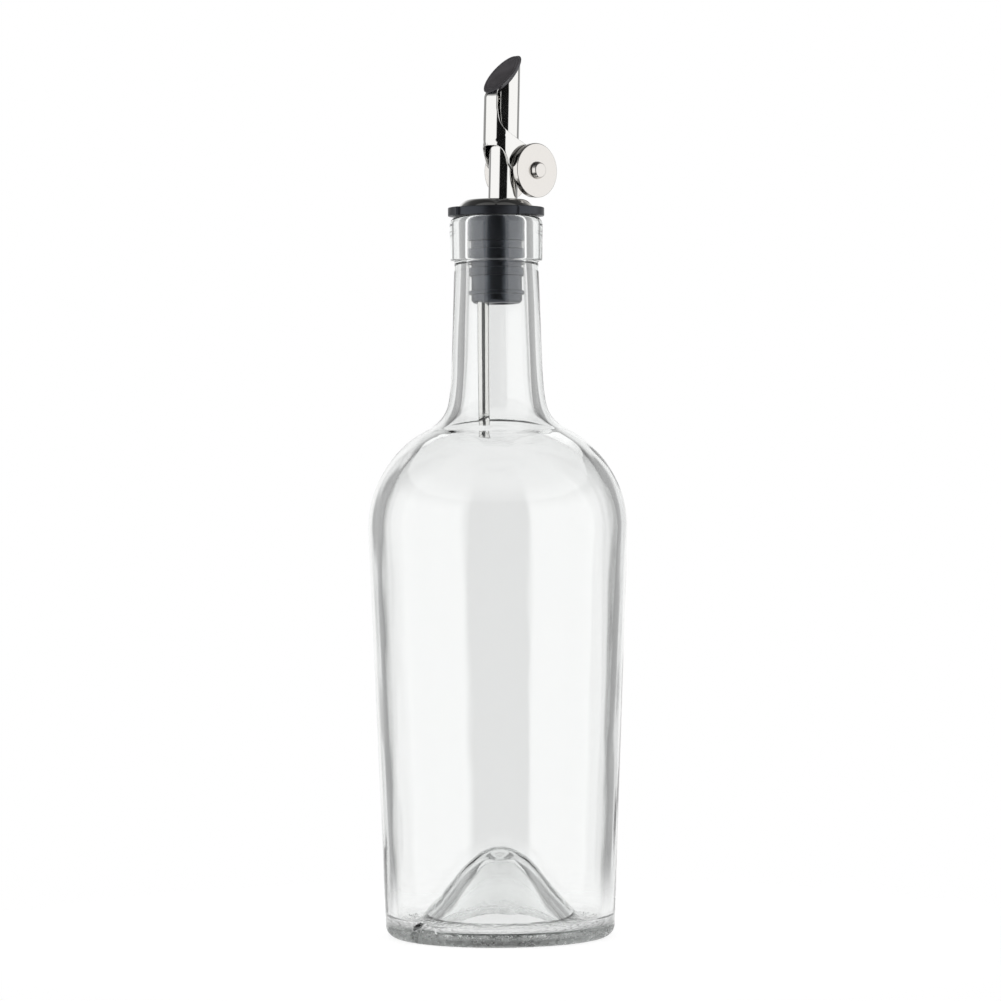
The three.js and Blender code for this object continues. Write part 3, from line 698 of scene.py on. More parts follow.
def punt_underside(foot_radius):
    """The bell under the base less a small cosine drop in its middle."""
    points = bell_curve(PUNT_HEIGHT + PUNT_FOOT, PUNT_FOOT, foot_radius, PUNT_STEPS)
    nib = NIB_DEPTH * (1 + np.cos(math.pi * np.minimum(points[:, 0] / NIB_RADIUS, 1))) / 2
    points[:, 1] -= PUNT_FOOT + nib
    return points


def bottle_lines():
    """The places that the bottle's outer and inner curves share."""
    base_radius = WIDEST_RADIUS - BODY_TAPER * WIDEST_HEIGHT
    neck_top = BORE_RADIUS + NECK_WALL
    blend_radius = neck_top + NECK_TAPER * (NECK_LENGTH - NECK_BLEND)
    shoulder = (WIDEST_RADIUS - SHOULDER_ARC, WIDEST_HEIGHT)
    fillet_r = blend_radius + NECK_ROOT_SWELL + NECK_FILLET
    run = fillet_r - shoulder[0]
    fillet = (fillet_r, WIDEST_HEIGHT + math.sqrt((SHOULDER_ARC + NECK_FILLET) ** 2 - run ** 2))
    return base_radius, neck_top, blend_radius, shoulder, fillet


def shoulder_and_neck(wall):
    """Shoulder arc, hollow arc and a quadratic curve into the neck, a wall's depth inside."""
    _, _, blend_radius, shoulder, fillet = bottle_lines()
    meet = math.degrees(math.atan2(fillet[1] - shoulder[1], fillet[0] - shoulder[0]))
    foot = -math.degrees(math.atan(BODY_TAPER))
    over = arc(shoulder, SHOULDER_ARC - wall, foot, meet, SHOULDER_STEPS)
    hollow = arc(fillet, NECK_FILLET + wall, 180 + meet, 180 + NECK_FILLET_END, HOLLOW_STEPS)
    start = hollow[-1]
    end = np.array([blend_radius - wall, fillet[1] + NECK_BLEND])
    drop = math.tan(math.radians(NECK_FILLET_END))
    rise = (start[0] - end[0] - NECK_TAPER * (end[1] - start[1])) / (drop - NECK_TAPER)
    corner = start + np.array([-drop * rise, rise])
    return np.vstack([over, hollow[1:], bend(start, corner, end, NECK_STEPS)[1:]])


def finish_ring(neck_top, finish_foot):
    """The thick ring round the mouth, with a faint parting line, and down into the bore."""
    outer = BORE_RADIUS + FINISH_WALL
    small = FINISH_FOOT_ROUND
    foot = outer - FINISH_DRAFT - small
    top = FINISH_TOP - FINISH_TOP_ROUND
    side_foot = (outer - FINISH_DRAFT, finish_foot + small)
    side = straight(side_foot, (outer, top), FINISH_SIDE_STEPS)
    seam = (side[:, 1] - FINISH_TOP + SEAM_BELOW_TOP) / SEAM_WIDTH
    side[:, 0] += SEAM_PROUD * np.exp(-(seam ** 2))
    return np.vstack([
        [(neck_top, finish_foot - small)],
        arc((neck_top + small, finish_foot - small), small, 180, 90, SMALL_ROUND_STEPS - 1)[1:],
        arc((foot, finish_foot + small), small, -90, 0, SMALL_ROUND_STEPS),
        side[1:],
        arc((outer - FINISH_TOP_ROUND, top), FINISH_TOP_ROUND, 0, 90, FINISH_TOP_STEPS)[1:],
        arc((BORE_RADIUS + small, FINISH_TOP - small), small, 90, 180, SMALL_ROUND_STEPS),
        [(BORE_RADIUS, finish_foot)],
    ])


def bottle_profile():
    """Once round the glass: under the base, up the outside, over the mouth and down the inside."""
    base_radius, neck_top, _, _, fillet = bottle_lines()
    bearing_outer = base_radius - HEEL_RADIUS
    bearing_inner = bearing_outer - BEARING_WIDTH
    inner_radius = base_radius - BODY_WALL + BODY_TAPER * (BASE_WALL + HEEL_RADIUS)
    inner_bend = (inner_radius - HEEL_RADIUS, BASE_WALL + HEEL_RADIUS)
    inner_foot = bell_curve(PUNT_HEIGHT + PUNT_WALL, BASE_WALL, inner_bend[0], PUNT_STEPS)
    inner_corner = arc(inner_bend, HEEL_RADIUS, -90, 0, INNER_CORNER_STEPS)
    inside = np.vstack([inner_foot, inner_corner[1:], shoulder_and_neck(BODY_WALL)])
    lower_end = (base_radius + LOWER_WALL_SPREAD, LOWER_WALL_TOP)
    lower_wall = straight((base_radius, HEEL_RADIUS), lower_end, LOWER_WALL_STEPS)
    profile = np.vstack([
        punt_underside(bearing_inner),
        arc((bearing_outer, HEEL_RADIUS), HEEL_RADIUS, -90, 0, HEEL_STEPS),
        lower_wall[1:],
        shoulder_and_neck(0),
        finish_ring(neck_top, fillet[1] + NECK_LENGTH),
        inside[::-1],
    ])
    return softened(profile, MOULDED_CORNER)


def notched(points, base_radius):
    """Moves the heel's points in to the notch's floor where they lie inside its arch: a circle of
    the notch's radius in the upright plane that faces the notch, with a soft edge."""
    turn = math.radians(NOTCH_ANGLE)
    r = np.hypot(points[..., 0], points[..., 1])
    angle = np.arctan2(points[..., 1], points[..., 0]) - turn
    across = r * np.sin(angle)
    inside = NOTCH_RADIUS - np.hypot(across, points[..., 2] - NOTCH_HEIGHT + NOTCH_RADIUS)
    share = smoothstep(inside / NOTCH_EDGE + 0.5) * (np.cos(angle) > 0)
    floor = base_radius - NOTCH_DEPTH
    scale = 1 - share * np.maximum(r - floor, 0) / np.maximum(r, 1)
    return points * np.stack([scale, scale, np.ones_like(scale)], -1)


def bottle():
    """The glass, one closed skin, its columns closer together at the notch."""
    base_radius = bottle_lines()[0]
    even = np.arange(0, 360, BODY_STEP)
    close = NOTCH_ANGLE + np.linspace(-NOTCH_REACH, NOTCH_REACH, NOTCH_COLUMNS)
    angles = np.radians(np.unique(np.round(np.concatenate([even, close]), 4)))
    profile = bottle_profile()
    points = notched(turned(profile, angles), base_radius)
    mesh = closed_mesh("bottle_glass", points, quads(len(profile), len(angles)))
    made = new_object("bottle_glass", mesh)
    return finished(made, "bottle", GLASS, "glass_bottle", crease=60)


# ---------------------------------------------------------------- stopper and dome


def stopper_profile():
    """The ribbed plug and its flange, from the middle of the foot to the middle of the top."""
    rib = BORE_RADIUS - RUBBER_RELIEF
    core = BORE_RADIUS - CORE_INSET
    flange_foot = FLANGE_TOP - FLANGE_THICKNESS
    flange = BORE_RADIUS + FINISH_WALL + FLANGE_OVERHANG
    collar_foot = flange_foot - COLLAR_HEIGHT
    upper = collar_foot - COLLAR_TO_RIB
    middle = upper - UPPER_RIB - UPPER_TO_MIDDLE
    lower = middle - MIDDLE_RIB - MIDDLE_TO_LOWER
    middle_radius = rib - RIB_STEP_IN
    lower_radius = rib - RIB_STEP_IN / 2
    corners = [
        (0, PLUG_FOOT),
        (core - PLUG_BEVEL, PLUG_FOOT),
        (core, PLUG_FOOT + PLUG_BEVEL),
        (core, lower - LOWER_RIB),
        (lower_radius, lower - LOWER_RIB),
        (lower_radius, lower),
        (core, lower),
        (core, middle - MIDDLE_RIB),
        (middle_radius, middle - MIDDLE_RIB),
        (middle_radius, middle),
        (core, middle),
        (core, upper - UPPER_RIB),
        (rib, upper - UPPER_RIB),
        (rib, upper),
        (core, upper),
        (core, collar_foot),
        (rib, collar_foot),
        (rib, flange_foot),
        (flange, flange_foot),
        (flange, FLANGE_TOP),
        (0, FLANGE_TOP),
    ]
    return softened(corners, FLANGE_BEVEL, steps=5)


def gripped(points):
    """Draws the flange's edge in over two opposite stretches, for finger and thumb."""
    flange = BORE_RADIUS + FINISH_WALL + FLANGE_OVERHANG
    r = np.hypot(points[..., 0], points[..., 1])
    angle = np.degrees(np.arctan2(points[..., 1], points[..., 0])) - GRIP_MIDDLE
    off = np.abs((angle + 90) % 180 - 90)
    share = smoothstep((GRIP_SPAN / 2 - off) / GRIP_BLEND + 0.5)
    outside = smoothstep((r - BORE_RADIUS - 1) / (FINISH_WALL - 1))
    scale = 1 - share * outside * GRIP_DEPTH / flange
    return points * np.stack([scale, scale, np.ones_like(scale)], -1)


def stopper():
    """The rubber plug with the seats of both tubes, the oil passage and the vent cut in it."""
    even = np.arange(0, 360, BODY_STEP)
    near_edge = np.linspace(-GRIP_BLEND, GRIP_BLEND, GRIP_COLUMNS)
    edges = GRIP_MIDDLE + np.array([[-0.5], [0.5]]) * GRIP_SPAN + near_edge
    edges = np.concatenate([edges.ravel(), edges.ravel() + 180]) % 360
    angles = np.radians(np.unique(np.round(np.concatenate([even, edges]), 3)))
    profile = stopper_profile()
    points = gripped(turned(profile, angles))
    mesh = closed_mesh("stopper_rubber", points, quads(len(profile), len(angles)))
    made = new_object("stopper_rubber", mesh)
    under, over = PLUG_FOOT - CUTTER_SPARE, FLANGE_TOP + CUTTER_SPARE
    seat_foot = FLANGE_TOP - SPOUT_SEAT_DEPTH - FIXED_GAP
    cut(
        made,
        rod(OIL_PASSAGE_RADIUS, SPOUT_X, under, over),
        rod(SPOUT_RADIUS + FIXED_GAP, SPOUT_X, seat_foot, over, sides=96, lean=True),
        rod(AIR_RADIUS + FIXED_GAP, AIR_X, under, AIR_HIGH[2] + FIXED_GAP, sides=48),
        rod(VENT_RADIUS, AIR_X, AIR_HIGH[2], over, sides=40),
    )
    return finished(made, "pourer", RUBBER, "stopper")


def dome_skin(depth):
    """Rim to flat top of one face of the cap: a quadratic curve, a sheet's depth inside."""
    shoulder = (DOME_RADIUS - DOME_TOP_RADIUS) / 3
    return bend(
        (DOME_RADIUS - depth, DOME_FOOT),
        (DOME_TOP_RADIUS + shoulder - depth / 2, DOME_TOP - depth),
        (DOME_TOP_RADIUS - depth, DOME_TOP - depth),
        DOME_STEPS,
    )


def dome():
    """A thin dished cap. Each ring of points is a circle whose centre and radius pass from those
    of the rim to those of the hole that the spout stands in."""
    angles = circle_angles(ROUND_SIDES)
    share = np.linspace(0, 1, DOME_RINGS + 1)[1:, None]

    def skin(depth):
        curve = dome_skin(depth)
        hole_x = SPOUT_X + (DOME_TOP - depth - FLANGE_TOP) * math.sin(SPOUT_LEAN)
        middle = np.concatenate([np.zeros(len(curve)), (share * hole_x)[:, 0]])
        inner = curve[-1, 0] + share[:, 0] * (SPOUT_RADIUS + SHEET_GAP - curve[-1, 0])
        radius = np.concatenate([curve[:, 0], inner])
        height = np.concatenate([curve[:, 1], np.full(len(inner), curve[-1, 1])])
        return np.stack([middle, radius, height], 1)

    rings = np.vstack([skin(0), skin(DOME_SHEET)[::-1]])
    x = rings[:, :1] + rings[:, 1:2] * np.cos(angles)
    y = rings[:, 1:2] * np.sin(angles)
    points = np.stack([x, y, np.broadcast_to(rings[:, 2:], x.shape)], -1)
    mesh = closed_mesh("dome_sheet", points, quads(len(rings), len(angles), loop_rows=True))
    vent = rod(VENT_RADIUS, AIR_X, FLANGE_TOP, DOME_TOP + CUTTER_SPARE, sides=40)
    made = cut(new_object("dome_sheet", mesh), vent)
    return finished(made, "pourer", POLISHED, "dome_cap")


# ---------------------------------------------------------------- tubes


def spout():
    """A thin tube cut across at a slope: z rises by the slope's tangent times x at the mouth."""
    outer, inner, lip = SPOUT_RADIUS, SPOUT_RADIUS - SPOUT_WALL, SPOUT_LIP
    foot = FLANGE_TOP - SPOUT_SEAT_DEPTH
    section = np.array([
        (outer, foot + lip, 0),
        (outer, MOUTH_Z - MOUTH_BAND, 1),
        (outer, MOUTH_Z - lip, 1),
        (outer - lip, MOUTH_Z, 1),
        (inner + lip, MOUTH_Z, 1),
        (inner, MOUTH_Z - lip, 1),
        (inner, MOUTH_Z - MOUTH_BAND, 1),
        (inner, foot + lip, 0),
        (inner + lip, foot, 0),
        (outer - lip, foot, 0),
    ])
    angles = circle_angles(SPOUT_SIDES)
    across = section[:, :1] * np.cos(angles)
    z = section[:, 1:2] + section[:, 2:] * MOUTH_RISE * across
    points = leaned(np.stack([SPOUT_X + across, section[:, :1] * np.sin(angles), z], -1))
    mesh = closed_mesh("spout_steel", points, quads(len(section), len(angles), loop_rows=True))
    made = new_object("spout_steel", mesh)
    return finished(made, "pourer", POLISHED, "spout_tube", crease=30)


def air_tube():
    """The thin tube that lets air in as oil runs out."""
    inner = AIR_RADIUS - AIR_WALL
    low, high = AIR_LOW[2], AIR_HIGH[2]
    corners = [(AIR_RADIUS, low), (AIR_RADIUS, high), (inner, high), (inner, low)]
    profile = softened(corners, AIR_LIP, closed=True)
    points = turned(profile, circle_angles(AIR_SIDES), AIR_X)
    mesh = closed_mesh("air_tube_steel", points, quads(len(profile), AIR_SIDES, loop_rows=True))
    made = new_object("air_tube_steel", mesh)
    return finished(made, "pourer", POLISHED, "air_tube", crease=30)


# ---------------------------------------------------------------- flap


def hood_section():
    """Half of the hood's sheet from above: front arc, soft bend, flat arm. Columns: length along
    it, x, y, and the outward direction."""
    front = arc((HOOD_X, 0), HOOD_RADIUS, 180, math.degrees(HOOD_TURN), HOOD_FRONT_STEPS)
    start = front[-1]
    run = (ARM_HALF_WIDTH - start[1]) / math.tan(HOOD_TURN - math.pi / 2)
    corner = (start[0] + run, ARM_HALF_WIDTH)
    side = bend(start, corner, (start[0] + 2 * run, ARM_HALF_WIDTH), HOOD_BEND_STEPS)
    arm = straight(side[-1], (WEIGHT_X + WEIGHT_RADIUS, ARM_HALF_WIDTH), HOOD_ARM_STEPS)
    line = np.vstack([front, side[1:], arm[1:]])
    length = np.concatenate([[0], np.cumsum(np.linalg.norm(np.diff(line, axis=0), axis=1))])
    tangent = np.gradient(line, length, axis=0)
    tangent[0] = (0, 1)
    tangent /= np.linalg.norm(tangent, axis=1)[:, None]
    return np.column_stack([length, line, -tangent[:, 1], tangent[:, 0]])


def hood_edges():
    """Front or lower edge and rear or upper edge of the hood in side view, row for row from the
    top of the strip down and back to the arm's end."""
    front = HOOD_X - HOOD_RADIUS
    strip = HOOD_X - HOOD_RADIUS * math.cos(STRIP_HALF_ANGLE)
    strip_foot = PIVOT_Z + STRIP_FOOT_RISE
    saddle = PIVOT_Z + ARM_SADDLE_RISE
    rear = (HOOD_X + ARM_REAR_BACK, PIVOT_Z + ARM_REAR_RISE)
    upper = flowing([
        (strip, strip_foot),
        (strip + SHOULDER_BACK, strip_foot - SHOULDER_DROP),
        (HOOD_X - SADDLE_START_FRONT, saddle + SADDLE_START_RISE),
        (HOOD_X + ARM_SADDLE_BACK, saddle),
        rear,
    ], HOOD_OUTLINE_STEPS)
    front_foot = PIVOT_Z + HOOD_FRONT_RISE
    arm_foot = (HOOD_X - ARM_LOWER_BACK, PIVOT_Z + ARM_LOWER_RISE)
    front_corner = (front + ARM_FRONT_CORNER, front_foot)
    lower = bend((front, front_foot), front_corner, arm_foot, ARM_ROWS)
    end = (WEIGHT_X, WEIGHT_Z)
    under_end = arc(end, ARM_END_RADIUS, *UNDER_ARM_ANGLES, 40)
    over_end = arc(end, ARM_END_RADIUS, *OVER_ARM_ANGLES, 40)
    straight_down = straight((front, strip_foot), (front, front_foot), 1)
    share = STRIP_ROWS / (STRIP_ROWS + TURN_ROWS)
    turn_shares = np.linspace(0, 1, TURN_ROWS + 1)[1:]
    arm_shares = np.linspace(0, 1, ARM_ROWS + 1)[1:]
    near = np.vstack([
        along(straight_down, np.linspace(0, 1, STRIP_ROWS + 1)),
        along(lower, turn_shares),
        along(np.vstack([[arm_foot], under_end]), arm_shares),
    ])
    far = np.vstack([
        along(upper, np.linspace(0, share, STRIP_ROWS + 1)),
        along(upper, share + (1 - share) * turn_shares),
        along(np.vstack([[rear], over_end]), arm_shares),
    ])
    return near, far


def tongue_rows(columns):
    """The strip's top, which flattens, narrows and bends over into the pad's tongue. Rows run down
    from the tongue's end. Gives middle points and outward directions."""
    slope = (MOUTH_SLOPE + PAD_TOP_SLOPE) / 2
    front = HOOD_X - HOOD_RADIUS
    under = PAD_FOOT + MOUTH_RISE * (front - SPOUT_X)
    over = MOUTH_Z + PAD_TOP_RISE + math.tan(PAD_TOP_SLOPE) * (front - PAD_TOP_X)
    corner = (under + over) / 2
    turn = math.pi / 2 - slope
    tangent = TONGUE_BEND * math.tan(turn / 2)
    strip_foot = PIVOT_Z + STRIP_FOOT_RISE
    rise = corner - tangent - strip_foot
    bent = TONGUE_BEND * turn
    s = np.concatenate([
        np.linspace(TONGUE_LENGTH - tangent + bent, bent, 8)[:-1],
        np.linspace(bent, 0, 9)[:-1],
        np.linspace(0, -rise, 14)[:-1],
    ])[:, None]
    heading = math.pi / 2 - np.clip(s / TONGUE_BEND, 0, turn)
    on_arc = np.clip(s, 0, bent) / TONGUE_BEND
    beyond = np.maximum(s - bent, 0)
    path_x = front + TONGUE_BEND * (1 - np.cos(on_arc)) + beyond * math.cos(slope)
    path_z = corner - tangent + np.minimum(s, 0) + TONGUE_BEND * np.sin(on_arc)
    path_z += beyond * math.sin(slope)
    round_share = smoothstep((bent + TONGUE_FLATTEN - s) / (bent + TONGUE_FLATTEN))
    half_width = HOOD_RADIUS * math.sin(STRIP_HALF_ANGLE)
    narrow = round_share + (1 - round_share) * TONGUE_WIDTH / 2 / half_width
    angle = columns * STRIP_HALF_ANGLE
    sag = HOOD_RADIUS * (1 - np.cos(angle)) * round_share
    x = path_x + np.sin(heading) * sag
    z = path_z - np.cos(heading) * sag
    y = HOOD_RADIUS * np.sin(angle) * narrow
    faced = angle * round_share
    outward = np.stack([
        -np.sin(heading) * np.cos(faced),
        np.sin(faced),
        np.cos(heading) * np.cos(faced),
    ], -1)
    return np.stack([x, y, z], -1), outward


def hood():
    """The bent sheet that carries pad and weights: middle points, moved half a sheet out and in."""
    near, far = hood_edges()
    section = hood_section()
    start = np.interp(near[:, 0], section[:, 1], section[:, 0])[:, None]
    stop = np.interp(far[:, 0], section[:, 1], section[:, 0])[:, None]
    strip_width = HOOD_RADIUS * STRIP_HALF_ANGLE
    width = np.hypot(stop - start, far[:, 1:] - near[:, 1:])
    edge_steps = SHEET_EDGE * (1 - np.cos(np.linspace(0, math.pi / 2, EDGE_COLUMNS)))

    def spread(row_width):
        close = edge_steps / row_width
        shares = np.linspace(0, 1, MIDDLE_COLUMNS + 2)[1:-1]
        middle = close[:, -1:] + shares * (1 - 2 * close[:, -1:])
        return np.hstack([close, middle, 1 - close[:, ::-1]])

    columns = spread(width)
    length = start + columns * (stop - start)
    x, y, out_x, out_y = (np.interp(length, section[:, 0], section[:, i]) for i in range(1, 5))
    z = near[:, 1:] + columns * (far[:, 1:] - near[:, 1:])
    side = np.stack([x, y, z], -1)
    out = np.stack([out_x, out_y, np.zeros_like(out_x)], -1)
    top_columns = spread(np.full((1, 1), strip_width))
    top, top_out = tongue_rows(top_columns)
    middle = np.vstack([top, side])
    out = np.vstack([top_out, out])
    joined = len(top) + STRIP_ROWS
    widths = np.concatenate([np.full(len(top), strip_width), width[:, 0]])[:, None]
    shares = np.vstack([np.repeat(top_columns, len(top), 0), columns])
    from_far = (1 - shares) * widths
    from_near = shares * widths
    from_near[:joined] = SHEET_EDGE
    into = np.clip(SHEET_EDGE - np.minimum(from_far, from_near), 0, SHEET_EDGE)
    half_sheet = HOOD_SHEET / 2 - SHEET_EDGE + np.sqrt(SHEET_EDGE ** 2 - into ** 2)
    outer = middle + half_sheet[..., None] * out
    inner = middle - half_sheet[..., None] * out
    rows, across = middle.shape[:2]
    count = rows * across
    index = np.arange(count).reshape(rows, across)

    def edge(line):
        return np.stack([line[:-1], line[1:], line[1:] + count, line[:-1] + count], 1)

    faces = np.vstack([
        quads(rows, across, loop_columns=False),
        quads(rows, across, loop_columns=False)[:, ::-1] + count,
        edge(index[:, -1]),
        edge(index[joined:, 0]),
        edge(index[0]),
        edge(index[-1]),
    ])
    half = np.vstack([outer.reshape(-1, 3), inner.reshape(-1, 3)])
    half[np.abs(half[:, 1]) < 1e-6, 1] = 0
    other = half * np.array([1, -1, 1])
    points = leaned(np.vstack([half, other]))
    both = np.vstack([faces, faces[:, ::-1] + len(half)])
    made = new_object("hood_sheet", closed_mesh("hood_sheet", points, both))
    cut(
        made,
        cross_rod(STUD_HOLE, PIVOT_X, PIVOT_Z, PIN_HOLE_REACH),
        cross_rod(RIVET_RADIUS + SHEET_GAP, WEIGHT_X, WEIGHT_Z, PIN_HOLE_REACH),
    )
    return finished(made, "flap", POLISHED, "flap_hood")


def tongue_cutter(spare):
    """The tongue's own shape made thicker and wider, as a cutter."""
    wide = TONGUE_SPARE_WIDTH
    middle, outward = tongue_rows(np.linspace(-wide, wide, 25)[None, :])
    half = HOOD_SHEET / 2 + spare
    rows, columns = middle.shape[:2]
    count = rows * columns
    index = np.arange(count).reshape(rows, columns)
    end = middle[:1] + spare * np.array([1, 0, 1])
    middle = np.vstack([end, middle[1:]])
    points = np.vstack([
        (middle + half * outward).reshape(-1, 3),
        (middle - half * outward).reshape(-1, 3),
    ])
    lines = [index[:, 0], index[:, -1], index[0], index[-1]]
    faces = np.vstack([
        quads(rows, columns, loop_columns=False),
        quads(rows, columns, loop_columns=False)[:, ::-1] + count,
        *[np.stack([line[:-1], line[1:], line[1:] + count, line[:-1] + count], 1) for line in lines],
    ])
    return new_object("cutter", closed_mesh("cutter", leaned(points), faces))


def seal_pad():
    """The rubber pad: rings that pass from the mouth's slope to the top face's slope. A row of
    the table is a ring's centre, radius, height and slope."""
    top = MOUTH_Z + PAD_TOP_RISE
    top_rise = math.tan(PAD_TOP_SLOPE)
    side = np.linspace(0, 1, PAD_SIDE_RINGS)
    waist = PAD_WAIST * np.sin(math.pi * side)
    foot_rings = [
        (SPOUT_X, 0, PAD_FOOT, MOUTH_RISE),
        (SPOUT_X, PAD_RADIUS - PAD_FOOT_ROUND, PAD_FOOT, MOUTH_RISE),
        (SPOUT_X, PAD_RADIUS - 0.07, PAD_FOOT + 0.04, MOUTH_RISE),
    ]
    low = np.array([SPOUT_X, PAD_RADIUS, PAD_FOOT + 0.15, MOUTH_RISE])
    high = np.array([PAD_TOP_X, PAD_TOP_RADIUS, top - PAD_ROUND, top_rise])
    between = low + side[:, None] * (high - low)
    between[:, 1] -= waist
    turn = np.radians(np.linspace(15, 90, PAD_RIM_RINGS))
    rim = np.stack([
        np.full_like(turn, PAD_TOP_X),
        PAD_TOP_RADIUS - PAD_ROUND * (1 - np.cos(turn)),
        top - PAD_ROUND * (1 - np.sin(turn)),
        np.full_like(turn, top_rise),
    ], 1)
    outside_groove = PAD_TOP_RADIUS - 2 * PAD_ROUND
    r = np.linspace(outside_groove, PAD_GROOVE - 0.5, PAD_FACE_RINGS)
    r = np.append(r, [3.0, 1.2, 0.0])
    groove = PAD_GROOVE_DEPTH * np.exp(-(((r - PAD_GROOVE) / PAD_GROOVE_WIDTH) ** 2))
    face = np.stack([np.full_like(r, PAD_TOP_X), r, top - groove, np.full_like(r, top_rise)], 1)
    rings = np.vstack([foot_rings, between, rim, face])
    angles = circle_angles(PAD_SIDES)
    across = rings[:, 1:2] * np.cos(angles)
    x = rings[:, :1] + across
    y = rings[:, 1:2] * np.sin(angles)
    z = rings[:, 2:3] + rings[:, 3:] * across
    points = leaned(np.stack([x, y, z], -1))
    mesh = closed_mesh("pad_rubber", points, quads(len(rings), len(angles)))
    made = cut(new_object("pad_rubber", mesh), tongue_cutter(PAD_SPARE))
    return finished(made, "flap", PAD_RUBBER, "seal_pad")


def weight(side, name, node):
    """A steel disc with a small rounded edge, turned about the weights' axis."""
    hole = RIVET_RADIUS + SHEET_GAP
    corners = np.array([
        (hole, WEIGHT_INNER),
        (WEIGHT_RADIUS, WEIGHT_INNER),
        (WEIGHT_RADIUS, WEIGHT_OUTER),
        (hole, WEIGHT_OUTER),
    ])
    profile = softened(corners, WEIGHT_BEVEL, closed=True, steps=6) * np.array([1, side])
    points = leaned(turned_about_y(profile, circle_angles(ROUND_SIDES), WEIGHT_X, WEIGHT_Z))
    mesh = closed_mesh(name, points, quads(len(profile), ROUND_SIDES, loop_rows=True))
    return finished(new_object(name, mesh), "flap", SATIN, node, crease=40)


def rivet():
    """The rivet through both weights, with a tapered, softly edged button at each end."""
    seat = WEIGHT_OUTER + SHEET_GAP
    top = seat + BUTTON_HEIGHT
    half = np.array([
        (RIVET_RADIUS, 0),
        (RIVET_RADIUS, seat),
        (BUTTON_BASE_RADIUS, seat),
        (BUTTON_TOP_RADIUS, top),
        (0, top),
    ])
    half = softened(half, BUTTON_ROUND, steps=6)
    profile = np.vstack([half[::-1] * np.array([1, -1]), half[1:]])
    points = leaned(turned_about_y(profile, circle_angles(RIVET_SIDES), WEIGHT_X, WEIGHT_Z))
    mesh = closed_mesh("rivet_steel", points, quads(len(profile), RIVET_SIDES))
    made = new_object("rivet_steel", mesh)
    return finished(made, "flap", SATIN, "weight_rivet", crease=40)


# ---------------------------------------------------------------- studio

CAMERA_AZIMUTH = math.radians(-42.3)  # 0 looks along +Y
CAMERA_DISTANCE = 1.297
CAMERA_HEIGHT = 0.150
CAMERA_PITCH = math.radians(0.47)  # below level
CAMERA_ROLL = math.radians(0.344)
CAMERA_LENS = 145.8
CAMERA_SHIFT = 0.0027

# Brightness by degrees round from the camera's side, and by the sine of the height
LIGHT_AROUND = [(28, 0.004), (34, 0.67), (114, 0.67), (121, 0.17), (150, 0.21), (158, 0.5)]
LIGHT_ABOVE = [(0.3, 1.0), (0.52, 0.42), (0.75, 0.14), (1.0, 0.08)]
LIGHT_STRENGTH = 2.0
OPEN_SIDE = 36.0  # degrees to each side of the camera that are dark in mirrored light alone
OVERHEAD_STRENGTH = 2.0
OVERHEAD_SPREAD = math.radians(120)

FLOOR_RADIUS = 0.2
FLOOR_FADE = 0.05  # radius from which the floor fades into the backdrop
FLOOR_Z = -0.00004  # just under the glass, so that the two faces stay apart
FLOOR_GREY = 0.25
FLOOR_GLOW = 0.82

TOWARDS_CAMERA = Vector((math.sin(CAMERA_AZIMUTH), -math.cos(CAMERA_AZIMUTH), 0))


def studio_camera():
    """A long lens at about half the bottle's height, from the pouring side's left."""
    back = Vector((
        TOWARDS_CAMERA.x * math.cos(CAMERA_PITCH),
        TOWARDS_CAMERA.y * math.cos(CAMERA_PITCH),
        math.sin(CAMERA_PITCH),
    ))
    right = Vector((0, 0, 1)).cross(back).normalized()
    up = back.cross(right)
    c, s = math.cos(CAMERA_ROLL), math.sin(CAMERA_ROLL)
    turned_right = right * c - up * s
    turned_up = right * s + up * c
    data = bpy.data.cameras.new("studio_camera")
    data.lens = CAMERA_LENS
    data.shift_x = CAMERA_SHIFT
    data.clip_start = 0.05
    data.clip_end = 50
    camera = new_object("studio_camera", data)
    place = Matrix((turned_right, turned_up, back)).transposed().to_4x4()
    place.translation = TOWARDS_CAMERA * CAMERA_DISTANCE + Vector((0, 0, CAMERA_HEIGHT))
    camera.matrix_world = place
    bpy.context.scene.camera = camera


def brightness_ramp(tree, stops, full):
    """A soft ramp through stops of place and brightness, with places from 0 to full."""
    ramp = tree.nodes.new("ShaderNodeValToRGB")
    ramp.color_ramp.interpolation = "EASE"
    elements = ramp.color_ramp.elements
    while len(elements) < len(stops):
        elements.new(0.5)
    for element, (place, value) in zip(elements, stops):
        element.position = place / full
        element.color = (value, value, value, 1)
    return ramp


